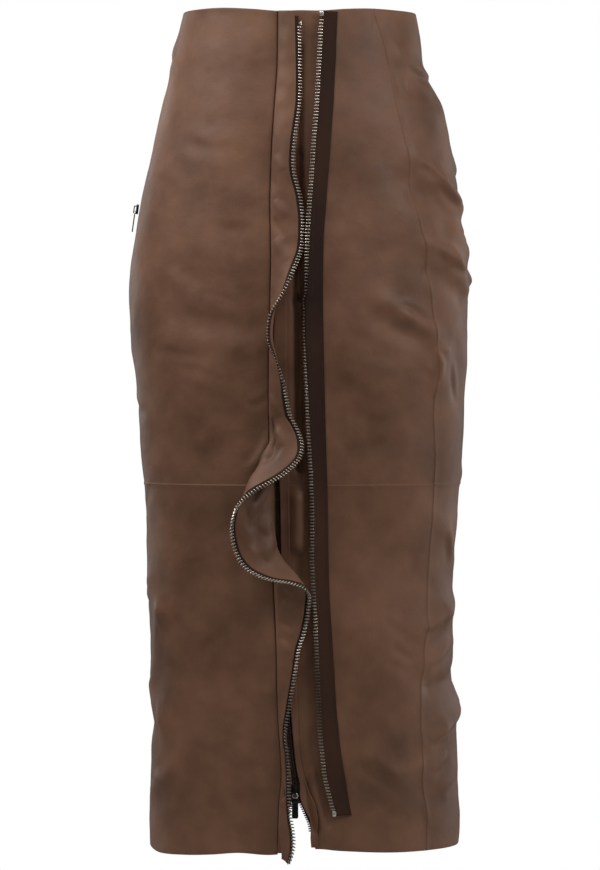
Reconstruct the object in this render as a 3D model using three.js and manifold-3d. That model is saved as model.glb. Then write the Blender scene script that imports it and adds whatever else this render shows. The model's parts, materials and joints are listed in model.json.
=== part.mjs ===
// Ruffled maxi skirt in soft brown leather, filled out as if worn, open at waist and hem.
//
// Frame: millimetres, +Z up, +X to the viewer's right, front towards -Y. The origin is the
// centre of the waist opening. "down" is the distance below the waist and "out" the distance
// outside the leather's outer face. Angles go round the body from the front (0), through the
// right side (90) and the back (180) to the left side (270, or -90).
import * as THREE from 'three';
import { mergeVertices } from 'three/addons/utils/BufferGeometryUtils.js';
import Module from 'manifold-3d';

const wasm = await Module();
wasm.setup();

// ---------- driving sizes ----------
const LEATHER = 1.2;            // wall of the panels
const SEAM_GAP = 0.3;           // between pieces that are sewn together
const STRIP_GAP = 0.5;          // between the narrow strips of a zip
const LINING_GAP = 0.85;        // between a panel's inner face and a zip tape behind it
const KNEE_SEAM = 490;          // height of the seam across the knees, below the waist
const TAPE = 0.8;               // woven zip tape
const CHAIN_DEPTH = 2.2;        // closing and pocket zip, front to back
const HEAVY_TEETH = 4.6;        // width of one row of the large teeth
const HEAVY_DEPTH = 2.6;        // the same row, front to back
const TAPE_SHOWN = 2.5;         // strip of tape between the band's edge and its teeth
const BAND = 2.2;               // ruffle band, two leathers thick
const FOLD_MM_PER_DEGREE = 2.62; // girth that one degree covers, for placing folds

// ---------- shape tables ----------
// Each table's first column is the distance below the waist, and a row is one section.
const BODY = table(['down', 'left', 'right', 'front', 'back'], [
  [0, 122.3, 121.3, 90, 93],
  [31, 129.0, 126.8, 93, 97],
  [63, 135.6, 132.8, 96, 101],
  [95, 144.4, 149.0, 100, 107],
  [142, 154.6, 159.2, 105, 117],
  [205, 168.6, 168.6, 110, 128],
  [252, 175.2, 174.0, 113, 133],
  [300, 178.6, 176.4, 115, 134],
  [347, 176.4, 176.2, 116, 131],
  [394, 171.0, 174.6, 115, 126],
  [457, 166.2, 170.4, 114, 121],
  [520, 160.6, 165.8, 113, 118],
  [583, 159.0, 161.2, 113, 117],
  [646, 156.8, 160.6, 114, 117],
  [709, 155.4, 162.6, 115, 118],
  [772, 155.6, 165.6, 116, 119],
  [835, 157.0, 167.0, 117, 120],
  [880, 157.0, 168.0, 118, 121],
]);
const ROUNDNESS = 2.25;         // exponent of the oval sections

// Hem and waist edges, by angle round the body: the back hem rides up over the seat.
const HEM = table(['angle', 'down'], [
  [-90, 868], [-60, 871], [-35, 870], [-14, 872], [8, 865], [20, 867], [45, 870],
  [70, 869], [90, 868], [125, 852], [180, 838], [235, 850], [270, 868],
]);
const WAIST = table(['angle', 'down'], [
  [-90, 0], [-40, 0.4], [-12, 1.4], [0, 0.3], [15, 1.2], [35, -0.8], [60, 0.5],
  [90, 0], [180, -3], [270, 0],
]);

// Places of the two lengthwise front seams, as distances right of the middle.
const LEFT_SEAM = table(['down', 'x'], [
  [0, -22.6], [56, -23.2], [95, -25.9], [148, -29.2], [195, -30.4], [262, -29.8], [354, -32.0],
  [455, -31.4], [589, -27.3], [645, -24.9], [732, -22.2], [768, -19.6], [795, -18.8],
  [821, -21.4], [880, -23.4],
]);
const RIGHT_SEAM = table(['down', 'x'], [
  [0, 76.3], [35, 86.6], [85, 97.0], [134, 108.4], [206, 119.9], [255, 131.3], [299, 135.4],
  [351, 140.6], [424, 139.6], [495, 139.6], [548, 135.4], [611, 132.3], [673, 128.2],
  [735, 125.0], [787, 126.1], [839, 131.3], [880, 131.3],
]);

// Closing zip: the middle of its left and right rows of teeth. They part below the slider.
// The panel column is the right panel's edge, under the guard.
const CLOSING = table(['down', 'left', 'right', 'panel'], [
  [0, -15.6, -13.6, -11.4], [60, -16.6, -14.6, -12.4], [150, -22.2, -20.2, -18.0],
  [262, -22.6, -20.6, -18.4], [354, -25.2, -23.2, -21.0], [455, -24.8, -22.8, -20.6],
  [495, -24.2, -22.2, -19.8], [550, -23.8, -21.8, -19.2], [589, -22.5, -20.5, -17.8],
  [645, -20.0, -18.0, -15.0], [714, -14.5, -12.5, -9.0], [768, -9.8, -7.8, -4.0],
  [795, -6.2, -4.2, 1.0], [811, -5.8, -3.4, 5.0], [820, -8.4, 1.0, 8.5], [829, -11.0, 5.4, 12.0],
  [842, -12.8, 11.6, 15.6], [880, -13.8, 13.4, 17.0],
]);
// Folded leather guard over the closing zip's right side: its two edges.
const GUARD = table(['down', 'left', 'right'], [
  [0, -18.2, -9.8], [60, -18.8, -10.8], [150, -24.2, -12.9], [262, -24.8, -13.2],
  [354, -26.6, -13.4], [440, -26.0, -11.8], [470, -23.8, -11.0], [490, -20.6, -10.3],
  [550, -19.3, -9.3], [577, -19.4, -8.5], [608, -18.4, -7.7], [670, -13.8, -4.2],
  [714, -9.8, -2.1], [768, -5.2, 0.6], [786, -2.6, 4.0], [797, -0.2, 8.0], [811, 0.2, 13.5],
  [819, 2.6, 17.0], [828, 6.6, 18.8], [837, 10.4, 20.0], [857, 11.4, 18.8], [880, 13.9, 17.4],
]);
// Ornamental zip half on the right front: middle of its teeth and far edge of its tape.
const TRIM = table(['down', 'teeth', 'edge'], [
  [3, 22.2, 39.7], [42, 20.1, 37.8], [93, 17.6, 35.2], [135, 14.4, 32.4], [176, 11.8, 29.4],
  [207, 9.8, 27.0], [234, 8.7, 25.0], [289, 7.8, 24.2], [330, 7.6, 24.6], [392, 9.1, 26.0],
  [433, 10.1, 27.0], [474, 11.3, 28.3], [526, 11.8, 29.4], [567, 12.4, 30.0],
  [608, 14.4, 31.1], [634, 15.9, 32.8], [678, 17.6, 35.6], [714, 19.0, 38.0],
  [750, 20.9, 41.2], [767, 22.9, 42.8], [788, 24.9, 45.8], [802, 28.0, 48.4],
  [820, 32.3, 51.8], [834, 36.6, 54.4],
]);

// Ruffle band. "down" is the height of its root in the left seam. The edge columns place the
// middle of its teeth, and the bow columns the point that its cross-line bends towards, right
// of the root and out from the front.
const RUFFLE = table(['down', 'edgeX', 'edgeDown', 'edgeOut', 'bowX', 'bowOut'], [
  [3, -0.5, 9, 6, 9, 8.5], [42, 0.5, 42, 6, 9, 8.5], [93, 0.5, 93, 6, 10, 9],
  [119, -2.6, 118, 7, 10, 9.5], [145, -5.9, 145, 8, 9, 10], [167, -5.7, 167, 8, 9, 10],
  [191, 0.3, 191, 7, 11, 9], [212, 3.0, 212, 6.6, 12, 9.5], [227, 3.2, 228, 6.6, 12, 9.5],
  [246, 1.6, 247, 8, 12, 10], [260, -3.0, 261, 13, 13, 11], [277, -10.8, 279, 19, 13, 12],
  [293, -19.0, 296, 23, 10, 14], [308, -28.2, 310, 26, 7, 15], [324, -32.3, 325, 27, 5, 15],
  [341, -32.3, 341, 27, 5, 15], [355, -27.2, 354, 25, 8, 14], [371, -21.1, 369, 22, 10, 13],
  [389, -15.9, 387, 17, 11, 12], [404, -12.9, 403, 13, 11, 11], [419, -9.8, 418, 11, 11, 10],
  [429, -3.4, 430, 10, 12, 10], [437, 1.0, 441, 11, 13, 11], [444, 2.6, 452, 15, 13, 12],
  [450, -0.9, 463, 21, 13, 12], [456, -12.8, 475, 29, 11, 14], [463, -28.2, 485, 35, 6, 17],
  [471, -44.5, 494, 37, 2, 19], [481, -57.9, 504, 34, 0, 21], [493, -66.1, 516, 30, 0, 23],
  [508, -69.8, 531, 27, 1, 24], [524, -68.2, 549, 26, 2, 24], [539, -62.0, 566, 27, 6, 24],
  [552, -50.7, 578, 30, 12, 23], [564, -32.3, 586, 33, 22, 22], [575, -9.7, 590, 32, 31, 20],
  [585, 4.6, 595, 26, 34, 18], [595, 9.4, 602, 19, 30, 14], [608, 9.6, 612, 15, 24, 11],
  [626, 8.0, 626, 13, 20, 10], [643, 4.4, 643, 11, 17, 9], [661, -1.0, 660, 9, 13, 8],
  [686, -4.8, 685, 7, 10, 7.5], [716, -10.0, 716, 7, 7, 7.5], [747, -14.4, 748, 7, 5, 7.5],
  [768, -13.4, 768, 7.5, 5, 8], [786, -11.6, 786, 8, 5, 8], [814, -11.4, 814, 9, 6, 9],
  [840, -11.2, 840, 10, 7, 9], [858, -10.2, 860, 11, 8, 9], [869, -12.6, 880, 11, 6, 9],
]);
const RUFFLE_TOP = 3;
const RUFFLE_END = 868;

// Folds: a ridge (lift above 0) or a hollow (below 0) from one place to another.
const FOLDS = rowsOf(['angle', 'down', 'toAngle', 'toDown', 'width', 'lift'], [
  // right hip, waist and side
  [58, 46, 80, 66, 12, 3.6], [63, 80, 78, 92, 11, -2.6],
  [57, 150, 67, 174, 13, 3.6], [67, 174, 82, 202, 12, 6.0], [52, 172, 74, 218, 12, -4.6],
  [75, 228, 92, 248, 11, 4.6], [61, 241, 70, 255, 10, 4.4], [70, 255, 82, 283, 11, 5.0],
  [60, 262, 76, 292, 10, -4.2], [40, 302, 49, 316, 11, 2.8], [49, 316, 60, 332, 11, 3.4],
  [39, 320, 58, 346, 12, -3.0], [60, 346, 63, 384, 11, 3.0], [74, 350, 77, 400, 13, -3.4],
  // right leg
  [86, 482, 92, 486, 9, 2.2], [72, 540, 80, 572, 12, 2.6], [57, 646, 74, 626, 12, 3.4],
  [74, 626, 90, 618, 11, 3.8], [62, 676, 80, 656, 12, 3.2], [64, 702, 92, 690, 10, -4.4],
  [60, 760, 68, 746, 12, 3.6], [68, 746, 90, 722, 12, 5.0],
  [69, 806, 80, 786, 11, 2.6], [34, 772, 46, 794, 13, 2.6], [46, 794, 55, 782, 12, 2.6],
  [24, 792, 47, 820, 16, 2.0], [30, 600, 52, 570, 22, -1.8],
  // left side and front
  [-84, 36, -80, 54, 12, 2.2], [-80, 594, -70, 626, 12, 3.4], [-70, 626, -80, 694, 12, 3.0],
  [-86, 704, -68, 746, 12, 3.2], [-92, 736, -84, 744, 12, -3.4], [-64, 792, -80, 812, 11, 2.4],
  [-60, 276, -50, 290, 12, 1.6],
  [-47, 298, -29, 312, 14, 1.8], [-58, 342, -22, 346, 14, 1.8], [-62, 364, -36, 388, 14, 1.6],
  [-50, 326, -24, 330, 16, -1.6], [-40, 455, -18, 430, 16, -2.0], [-52, 660, -24, 640, 24, -2.0],
  // front hollow and swell between the closing zip and the ornamental one
  [-2, 272, -1, 476, 8, -3.6], [-1, 510, -1, 555, 7, 1.6], [0, 568, 0, 585, 7, -2.6],
  // back: hollow of the waist, drag lines under the seat, breaks behind the knees
  [180, 40, 180, 120, 34, -4.0], [140, 210, 172, 236, 16, 2.4], [220, 210, 188, 236, 16, 2.4],
  [130, 380, 172, 352, 15, -3.0], [232, 384, 190, 356, 15, -2.8], [128, 402, 168, 382, 14, 2.6],
  [234, 410, 196, 384, 14, 2.4], [118, 560, 160, 534, 16, 2.8], [240, 566, 204, 540, 16, 2.6],
  [122, 590, 170, 566, 15, -2.8], [236, 598, 196, 572, 15, -2.4], [110, 700, 150, 668, 14, 3.0],
  [250, 706, 214, 676, 14, 2.8], [108, 782, 140, 756, 13, 2.8], [256, 770, 226, 752, 13, 2.4],
]);

// Pocket zip in the left side seam
const POCKET = { angle: -90, top: 200, bottom: 347, halfGap: 2.9, chainDepth: 1.4 };
// Slider and pull tab, shared by both zips
const SLIDER = { width: 7.8, height: 12.6, plate: 3.0, bridgeWidth: 2.4, bridgeWall: 1.3, tunnel: 1.9 };
const PULL = { width: 6.6, length: 21, wall: 1.4, wire: 1.2, ringReach: 5.1, ringWidth: 6.4 };
const CLOSING_SLIDER = { x: -4.5, down: 811.5 };
const POCKET_SLIDER = { down: 207, scale: 0.85, lean: 0.14 };

const FINISH = {
  leather: { color: 0x5f4437, roughness: 0.62, metalness: 0.0 },
  tape: { color: 0x32231f, roughness: 0.9, metalness: 0.0 },
  teeth: { color: 0xa9a39b, roughness: 0.3, metalness: 1.0 },
  darkMetal: { color: 0x3a3330, roughness: 0.42, metalness: 0.9 },
};

// ---------- tables and curves ----------
function rowsOf(names, rows) {
  return rows.map((row) => Object.fromEntries(names.map((name, i) => [name, row[i]])));
}

// One smooth function of the first column for each of the other columns.
function table(names, rows) {
  const columns = names.slice(1).map((name, i) => [name, smooth(rows.map((r) => [r[0], r[i + 1]]))]);
  return Object.fromEntries(columns);
}

// Cubic through (place, value) pairs, held level past both ends.
function smooth(pairs) {
  const slope = pairs.map((_, i) => {
    const a = pairs[Math.max(i - 1, 0)];
    const b = pairs[Math.min(i + 1, pairs.length - 1)];
    return (b[1] - a[1]) / (b[0] - a[0]);
  });
  return (place) => {
    const last = pairs.length - 1;
    if (place <= pairs[0][0]) return pairs[0][1];
    if (place >= pairs[last][0]) return pairs[last][1];
    const i = pairs.findIndex((pair) => pair[0] > place) - 1;
    const [x0, y0] = pairs[i];
    const [x1, y1] = pairs[i + 1];
    const span = x1 - x0;
    const t = (place - x0) / span;
    const start = (1 + 2 * t) * (1 - t) ** 2 * y0 + t * (1 - t) ** 2 * span * slope[i];
    return start + t * t * (3 - 2 * t) * y1 + t * t * (t - 1) * span * slope[i + 1];
  };
}

const mix = THREE.MathUtils.lerp;

// ---------- the filled-out body ----------
const radians = THREE.MathUtils.degToRad;

function smoothBody(angle, down) {
  const across = Math.sin(radians(angle));
  const ahead = Math.cos(radians(angle));
  const side = across < 0 ? BODY.left(down) : BODY.right(down);
  const depth = ahead > 0 ? BODY.front(down) : BODY.back(down);
  const sum = Math.abs(across / side) ** ROUNDNESS + Math.abs(ahead / depth) ** ROUNDNESS;
  const radius = sum ** (-1 / ROUNDNESS);
  return new THREE.Vector3(radius * across, -radius * ahead, -down);
}

// The angle at which the front of the body is x right of the middle.
function angleAt(x, down) {
  const side = x < 0 ? BODY.left(down) : BODY.right(down);
  const reach = (1 - Math.abs(x / side) ** ROUNDNESS) ** (1 / ROUNDNESS);
  return THREE.MathUtils.radToDeg(Math.atan2(x, BODY.front(down) * reach));
}

function foldLift(angle, down) {
  let lift = 0;
  for (const fold of FOLDS) {
    const turns = Math.round((angle - fold.angle) / 360) * 360;
    const runX = (fold.toAngle - fold.angle) * FOLD_MM_PER_DEGREE;
    const runY = fold.toDown - fold.down;
    const x = (angle - turns - fold.angle) * FOLD_MM_PER_DEGREE;
    const y = down - fold.down;
    const length = runX * runX + runY * runY;
    const t = THREE.MathUtils.clamp((x * runX + y * runY) / length, 0, 1);
    const away = Math.hypot(x - t * runX, y - t * runY) / fold.width;
    lift += fold.lift * Math.exp(-away * away);
  }
  return lift;
}

function skin(angle, down) {
  const point = smoothBody(angle, down);
  const outward = new THREE.Vector3(point.x, point.y, 0).normalize();
  return point.addScaledVector(outward, foldLift(angle, down));
}

function skinNormal(angle, down) {
  const along = skin(angle + 0.5, down).sub(skin(angle - 0.5, down));
  const up = skin(angle, down - 1).sub(skin(angle, down + 1));
  return along.cross(up).normalize();
}

// A point moved out from the leather's outer face, given by angle or by distance right.
function offBody(angle, down, out) {
  return skin(angle, down).addScaledVector(skinNormal(angle, down), out);
}
function offFront(x, down, out) {
  return offBody(angleAt(x, down), down, out);
}

// ---------- closed solids ----------
// A wall between two faces. u goes right and v goes up, both 0 to 1, seen from outside.
function wall(columns, rows, outer, inner) {
  const positions = [];
  for (const face of [outer, inner]) {
    for (let j = 0; j <= rows; j += 1) {
      for (let i = 0; i <= columns; i += 1) positions.push(...face(i / columns, j / rows).toArray());
    }
  }
  const behind = (columns + 1) * (rows + 1);
  const at = (i, j) => j * (columns + 1) + i;
  const index = [];
  for (let j = 0; j < rows; j += 1) {
    for (let i = 0; i < columns; i += 1) {
      const [a, b, c, d] = [at(i, j), at(i + 1, j), at(i + 1, j + 1), at(i, j + 1)];
      index.push(a, b, c, a, c, d);
      index.push(behind + a, behind + c, behind + b, behind + a, behind + d, behind + c);
    }
  }
  const rim = [];
  for (let i = 0; i < columns; i += 1) rim.push(at(i, 0));
  for (let j = 0; j < rows; j += 1) rim.push(at(columns, j));
  for (let i = columns; i > 0; i -= 1) rim.push(at(i, rows));
  for (let j = rows; j > 0; j -= 1) rim.push(at(0, j));
  rim.forEach((a, k) => {
    const b = rim[(k + 1) % rim.length];
    index.push(a, behind + a, behind + b, a, behind + b, b);
  });
  const geometry = new THREE.BufferGeometry();
  geometry.setAttribute('position', new THREE.Float32BufferAttribute(positions, 3));
  geometry.setIndex(index);
  geometry.computeVertexNormals();
  return geometry;
}

function toManifold(geometry) {
  const bare = geometry.clone();
  bare.deleteAttribute('normal');
  bare.deleteAttribute('uv');
  const merged = mergeVertices(bare, 1e-4);
  return new wasm.Manifold(new wasm.Mesh({
    numProp: 3,
    vertProperties: new Float32Array(merged.attributes.position.array),
    triVerts: new Uint32Array(merged.index.array),
  }));
}

function join(a, b) {
  const mesh = toManifold(a).add(toManifold(b)).getMesh();
  const geometry = new THREE.BufferGeometry();
  geometry.setAttribute('position', new THREE.BufferAttribute(mesh.vertProperties, 3));
  geometry.setIndex(new THREE.BufferAttribute(mesh.triVerts, 1));
  geometry.computeVertexNormals();
  return geometry;
}

const skirt = new THREE.Group();
const materials = Object.fromEntries(
  Object.entries(FINISH).map(([name, look]) => [name, new THREE.MeshStandardMaterial(look)]),
);

function add(name, geometry, finish, parent = skirt) {
  const mesh = new THREE.Mesh(geometry, materials[finish]);
  mesh.name = name;
  parent.add(mesh);
  return mesh;
}

// ---------- leather panels ----------
// Half the space between the two panels of the left side seam: it opens round the pocket zip.
function sideHalfGap(down) {
  const ease = (from, to) => THREE.MathUtils.smoothstep(down, from, to);
  const open = ease(POCKET.top - 14, POCKET.top) * (1 - ease(POCKET.bottom, POCKET.bottom + 14));
  return mix(SEAM_GAP / 2, POCKET.halfGap, open);
}

function degreesFor(distance, angle, down) {
  const step = skin(angle + 0.5, down).distanceTo(skin(angle - 0.5, down));
  return distance / step;
}

// Edges of the four lengthwise panels, as angles at a height.
const plainEdge = (angle, side) => (down) => angle + side * degreesFor(SEAM_GAP / 2, angle, down);
const pocketEdge = (angle, side) => (down) => angle + side * degreesFor(sideHalfGap(down), angle, down);
const seamEdge = (seam, side) => (down) => {
  const angle = angleAt(seam.x(down), down);
  return angle + side * degreesFor(SEAM_GAP / 2, angle, down);
};
const zipEdge = (down) => angleAt(CLOSING.panel(down), down);
const crowdLeft = (u) => u ** 1.5;
const crowdRight = (u) => 1 - (1 - u) ** 1.25;
const crowdSide = (u) => u ** 1.25;
const even = (u) => u;

const PANELS = rowsOf(['name', 'from', 'to', 'columns', 'spread', 'upperRows', 'lowerRows'], [
  ['front_left', pocketEdge(-90, 1), seamEdge(LEFT_SEAM, -1), 11, crowdRight, 22, 16],
  ['front_right', zipEdge, seamEdge(RIGHT_SEAM, -1), 11, crowdLeft, 28, 22],
  ['back_right', seamEdge(RIGHT_SEAM, 1), plainEdge(180, -1), 16, crowdSide, 28, 22],
  ['back_left', plainEdge(180, 1), pocketEdge(270, -1), 9, even, 22, 16],
]);

function panelWall(panel, rows, topOf, bottomOf) {
  const place = (u, v) => {
    let down = KNEE_SEAM;
    let angle = 0;
    for (let pass = 0; pass < 4; pass += 1) {
      angle = mix(panel.from(down), panel.to(down), panel.spread(u));
      down = mix(bottomOf(angle), topOf(angle), v);
    }
    return [angle, down];
  };
  return wall(panel.columns, rows,
    (u, v) => offBody(...place(u, v), 0),
    (u, v) => offBody(...place(u, v), -LEATHER));
}

function addPanels() {
  for (const panel of PANELS) {
    const above = () => KNEE_SEAM - SEAM_GAP / 2;
    const below = () => KNEE_SEAM + SEAM_GAP / 2;
    add(`${panel.name}_upper`, panelWall(panel, panel.upperRows, WAIST.down, above), 'leather');
    add(`${panel.name}_lower`, panelWall(panel, panel.lowerRows, below, HEM.down), 'leather');
  }
}

// ---------- strips that follow the front ----------
// A strip between two heights; its edges and depths are given by functions of the height.
function frontStrip({ top, bottom, rows, columns = 1, left, right, middleOut, thickness, crowd = 1 }) {
  const face = (side) => (u, v) => {
    const down = mix(bottom, top, v ** crowd);
    const x = mix(left(down), right(down), u);
    return offFront(x, down, middleOut(u, down) + side * thickness / 2);
  };
  return wall(columns, rows, face(1), face(-1));
}

const level = (out) => () => out;
const LIP_END = 869;
const SLIDER_TOP = CLOSING_SLIDER.down - SLIDER.height;
const TAPE_OUT = -LEATHER - LINING_GAP - TAPE / 2;

function addClosingZip() {
  add('closing_lip_left', frontStrip({
    top: 1.2, bottom: LIP_END, rows: 44,
    left: (down) => LEFT_SEAM.x(down) + SEAM_GAP, right: (down) => CLOSING.left(down) - 2.0,
    middleOut: level(-LEATHER / 2), thickness: LEATHER,
  }), 'leather');
  add('closing_guard', frontStrip({
    top: 1.0, bottom: 864, rows: 48, columns: 2,
    left: GUARD.left, right: GUARD.right, middleOut: level(1.1), thickness: 1.4,
  }), 'leather');
  add('closing_tape_left', frontStrip({
    top: 4, bottom: 862, rows: 36, crowd: 1.35,
    left: (down) => CLOSING.left(down) - 11.5, right: (down) => CLOSING.left(down) - 2.2,
    middleOut: level(TAPE_OUT), thickness: TAPE,
  }), 'tape');
  add('closing_tape_right', frontStrip({
    top: 4, bottom: 860, rows: 36, crowd: 1.35,
    left: (down) => CLOSING.right(down) + 2.2, right: (down) => CLOSING.right(down) + 11.5,
    middleOut: level(TAPE_OUT), thickness: TAPE,
  }), 'tape');
  const row = (name, top, bottom, rows, left, right) => add(name, frontStrip({
    top, bottom, rows, left, right, middleOut: level(TAPE_OUT), thickness: CHAIN_DEPTH,
  }), 'teeth');
  const edge = (side, reach) => (down) => CLOSING[side](down) + reach;
  row('closing_chain', 8, SLIDER_TOP + 2, 40, edge('left', -1.5), edge('right', 1.5));
  row('closing_teeth_left', CLOSING_SLIDER.down + 1, 856, 6, edge('left', -1.5), edge('left', 1.3));
  row('closing_teeth_right', CLOSING_SLIDER.down + 1, 848, 6, edge('right', -1.3), edge('right', 1.5));
}

// ---------- slider and pull tab ----------
// Both are made facing +Z with the pull hanging towards -Y, the hinge line being the X axis.
function roundedBox(width, height, depth, radius) {
  const shape = new THREE.Shape();
  const [x, y] = [width / 2, height / 2];
  shape.moveTo(-x + radius, -y);
  shape.lineTo(x - radius, -y);
  shape.absarc(x - radius, -y + radius, radius, -Math.PI / 2, 0);
  shape.absarc(x - radius, y - radius, radius, 0, Math.PI / 2);
  shape.absarc(-x + radius, y - radius, radius, Math.PI / 2, Math.PI);
  shape.absarc(-x + radius, -y + radius, radius, Math.PI, 1.5 * Math.PI);
  return { shape, solid: () => extrude(shape, depth) };
}

function extrude(shape, depth) {
  const geometry = new THREE.ExtrudeGeometry(shape, { depth, bevelEnabled: false, curveSegments: 3 });
  geometry.translate(0, 0, -depth / 2);
  return geometry;
}

// Distance from the hinge line down to the slider's lower end, and in to its plate's face.
const HINGE_RISE = 3.2;
const HINGE_OUT = SLIDER.tunnel / 2;

function sliderSolid() {
  const { width, height, plate, bridgeWidth, bridgeWall, tunnel } = SLIDER;
  const outline = new THREE.Shape();
  outline.moveTo(-width * 0.32, 0);
  outline.lineTo(width * 0.32, 0);
  outline.lineTo(width * 0.42, height * 0.35);
  outline.lineTo(width / 2, height * 0.62);
  outline.lineTo(width * 0.46, height);
  outline.lineTo(width * 0.12, height * 0.93);
  outline.lineTo(-width * 0.12, height * 0.93);
  outline.lineTo(-width * 0.46, height);
  outline.lineTo(-width / 2, height * 0.62);
  outline.lineTo(-width * 0.42, height * 0.35);
  outline.closePath();
  const body = extrude(outline, plate);
  body.translate(0, -HINGE_RISE, -HINGE_OUT - plate / 2);
  // The bridge's side view: an arch over the tunnel that the pull's ring runs in.
  const reach = tunnel + bridgeWall;
  const bridge = new THREE.Shape();
  bridge.moveTo(0.6, -0.4);
  bridge.lineTo(0.6, reach - 0.5);
  bridge.lineTo(1.1, reach);
  bridge.lineTo(9.0, reach);
  bridge.lineTo(10.4, -0.4);
  bridge.lineTo(8.9, -0.4);
  bridge.lineTo(8.0, tunnel);
  bridge.lineTo(2.1, tunnel);
  bridge.lineTo(2.1, -0.4);
  bridge.closePath();
  const arch = extrude(bridge, bridgeWidth);
  arch.rotateX(Math.PI / 2);
  arch.rotateZ(Math.PI / 2);
  arch.translate(0, -HINGE_RISE, -HINGE_OUT);
  return join(body, arch);
}

function pullSolid() {
  const { width, length, wall: thick, wire, ringReach, ringWidth } = PULL;
  const ring = roundedBox(ringWidth, ringReach + wire / 2, wire, 1.2).shape;
  const hole = new THREE.Path();
  const [x, y] = [ringWidth / 2 - wire, (ringReach + wire / 2) / 2 - wire];
  hole.moveTo(-x, -y);
  hole.lineTo(-x, y);
  hole.lineTo(x, y);
  hole.lineTo(x, -y);
  hole.closePath();
  ring.holes.push(hole);
  const frame = extrude(ring, wire);
  frame.translate(0, wire / 2 - (ringReach + wire / 2) / 2, 0);
  const tab = roundedBox(width, length, thick, 0.8).solid();
  tab.translate(0, -ringReach + 0.5 - length / 2, 0);
  return join(frame, tab);
}

// Places a group so that its +Z faces out of the body and its +Y points up along it.
function standOn(origin, outward, up) {
  const group = new THREE.Group();
  const right = up.clone().cross(outward).normalize();
  const trueUp = outward.clone().cross(right).normalize();
  group.matrix.makeBasis(right, trueUp, outward.clone().normalize()).setPosition(origin);
  group.matrix.decompose(group.position, group.quaternion, group.scale);
  skirt.add(group);
  return group;
}

function addClosingSlider() {
  const out = SEAM_GAP + SLIDER.plate + HINGE_OUT;
  const down = CLOSING_SLIDER.down - HINGE_RISE;
  const origin = offFront(CLOSING_SLIDER.x, down, out);
  const frontal = new THREE.Vector3(0, -1, 0);
  const group = standOn(origin, frontal, new THREE.Vector3(0, 0, 1));
  add('closing_slider', sliderSolid(), 'darkMetal', group);
  add('closing_pull', pullSolid(), 'darkMetal', group);
}

// ---------- ruffle ----------
const CROSS_STEPS = 24;

// The band's cross-line at a root height, as points with their distance from the root.
function crossLine(down) {
  const rootX = LEFT_SEAM.x(down) + 1.4;
  const front = -BODY.front(down);
  const root = offFront(rootX, down, BAND / 2 + SEAM_GAP + 0.1);
  const bowDown = mix(down, RUFFLE.edgeDown(down), 0.4);
  const bow = new THREE.Vector3(rootX + RUFFLE.bowX(down), front - RUFFLE.bowOut(down), -bowDown);
  const edge = new THREE.Vector3(RUFFLE.edgeX(down), front - RUFFLE.edgeOut(down), -RUFFLE.edgeDown(down));
  const curve = new THREE.QuadraticBezierCurve3(root, bow, edge);
  return { curve, length: curve.getLength() };
}

// A point on the band, measured back from the middle of its teeth towards the root.
function bandPoint(down, back) {
  const { curve, length } = crossLine(down);
  curve.arcLengthDivisions = CROSS_STEPS;
  if (back >= 0) return curve.getPointAt(THREE.MathUtils.clamp(1 - back / length, 0, 1));
  return curve.getPoint(1).addScaledVector(curve.getTangent(1), -back);
}

function bandNormal(down, back) {
  const away = bandPoint(down, back - 0.4).sub(bandPoint(down, back + 0.4));
  const up = bandPoint(down - 1.5, back).sub(bandPoint(down + 1.5, back));
  return away.cross(up).normalize();
}

// Part of the band's width, from one distance back of the teeth to another.
function bandStrip(columns, rows, from, to, thickness) {
  const face = (side) => (u, v) => {
    const down = mix(RUFFLE_END, RUFFLE_TOP, v);
    const back = mix(from(down), to(down), u);
    return bandPoint(down, back).addScaledVector(bandNormal(down, back), side * thickness / 2);
  };
  return wall(columns, rows, face(1), face(-1));
}

function addRuffle() {
  const half = HEAVY_TEETH / 2;
  const leatherEdge = half + TAPE_SHOWN + 2 * STRIP_GAP;
  const rootEdge = (down) => crossLine(down).length - 0.1;
  add('ruffle_band', bandStrip(4, 84, rootEdge, level(leatherEdge), BAND), 'leather');
  const tapeFrom = level(leatherEdge - STRIP_GAP);
  add('ruffle_tape', bandStrip(1, 84, tapeFrom, level(half + STRIP_GAP), TAPE), 'tape');
  add('ruffle_chain', bandStrip(1, 84, level(half), level(-half), HEAVY_DEPTH), 'teeth');
}

// ---------- ornamental zip half on the right front ----------
const TRIM_TOP = 5;
const TRIM_END = 831;
const TRIM_RISE = 6.4;

function addTrimZip() {
  const half = HEAVY_TEETH / 2;
  const seat = SEAM_GAP + TAPE / 2;
  const rise = (u) => seat + TRIM_RISE * (1 - u) ** 1.7;
  add('trim_tape', frontStrip({
    top: TRIM_TOP, bottom: TRIM_END, rows: 44, columns: 3,
    left: (down) => TRIM.teeth(down) + half + SEAM_GAP, right: TRIM.edge,
    middleOut: rise, thickness: TAPE,
  }), 'tape');
  add('trim_chain', frontStrip({
    top: TRIM_TOP + 6, bottom: TRIM_END - 5, rows: 44,
    left: (down) => TRIM.teeth(down) - half, right: (down) => TRIM.teeth(down) + half,
    middleOut: level(seat + TRIM_RISE), thickness: HEAVY_DEPTH,
  }), 'teeth');
}

// Small metal end stops, one row of teeth wide.
function addStop(name, point, below, outward) {
  const group = standOn(point, outward, point.clone().sub(below));
  add(name, roundedBox(HEAVY_TEETH - 0.4, 5.2, 3.0, 1.4).solid(), 'teeth', group);
}

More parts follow.
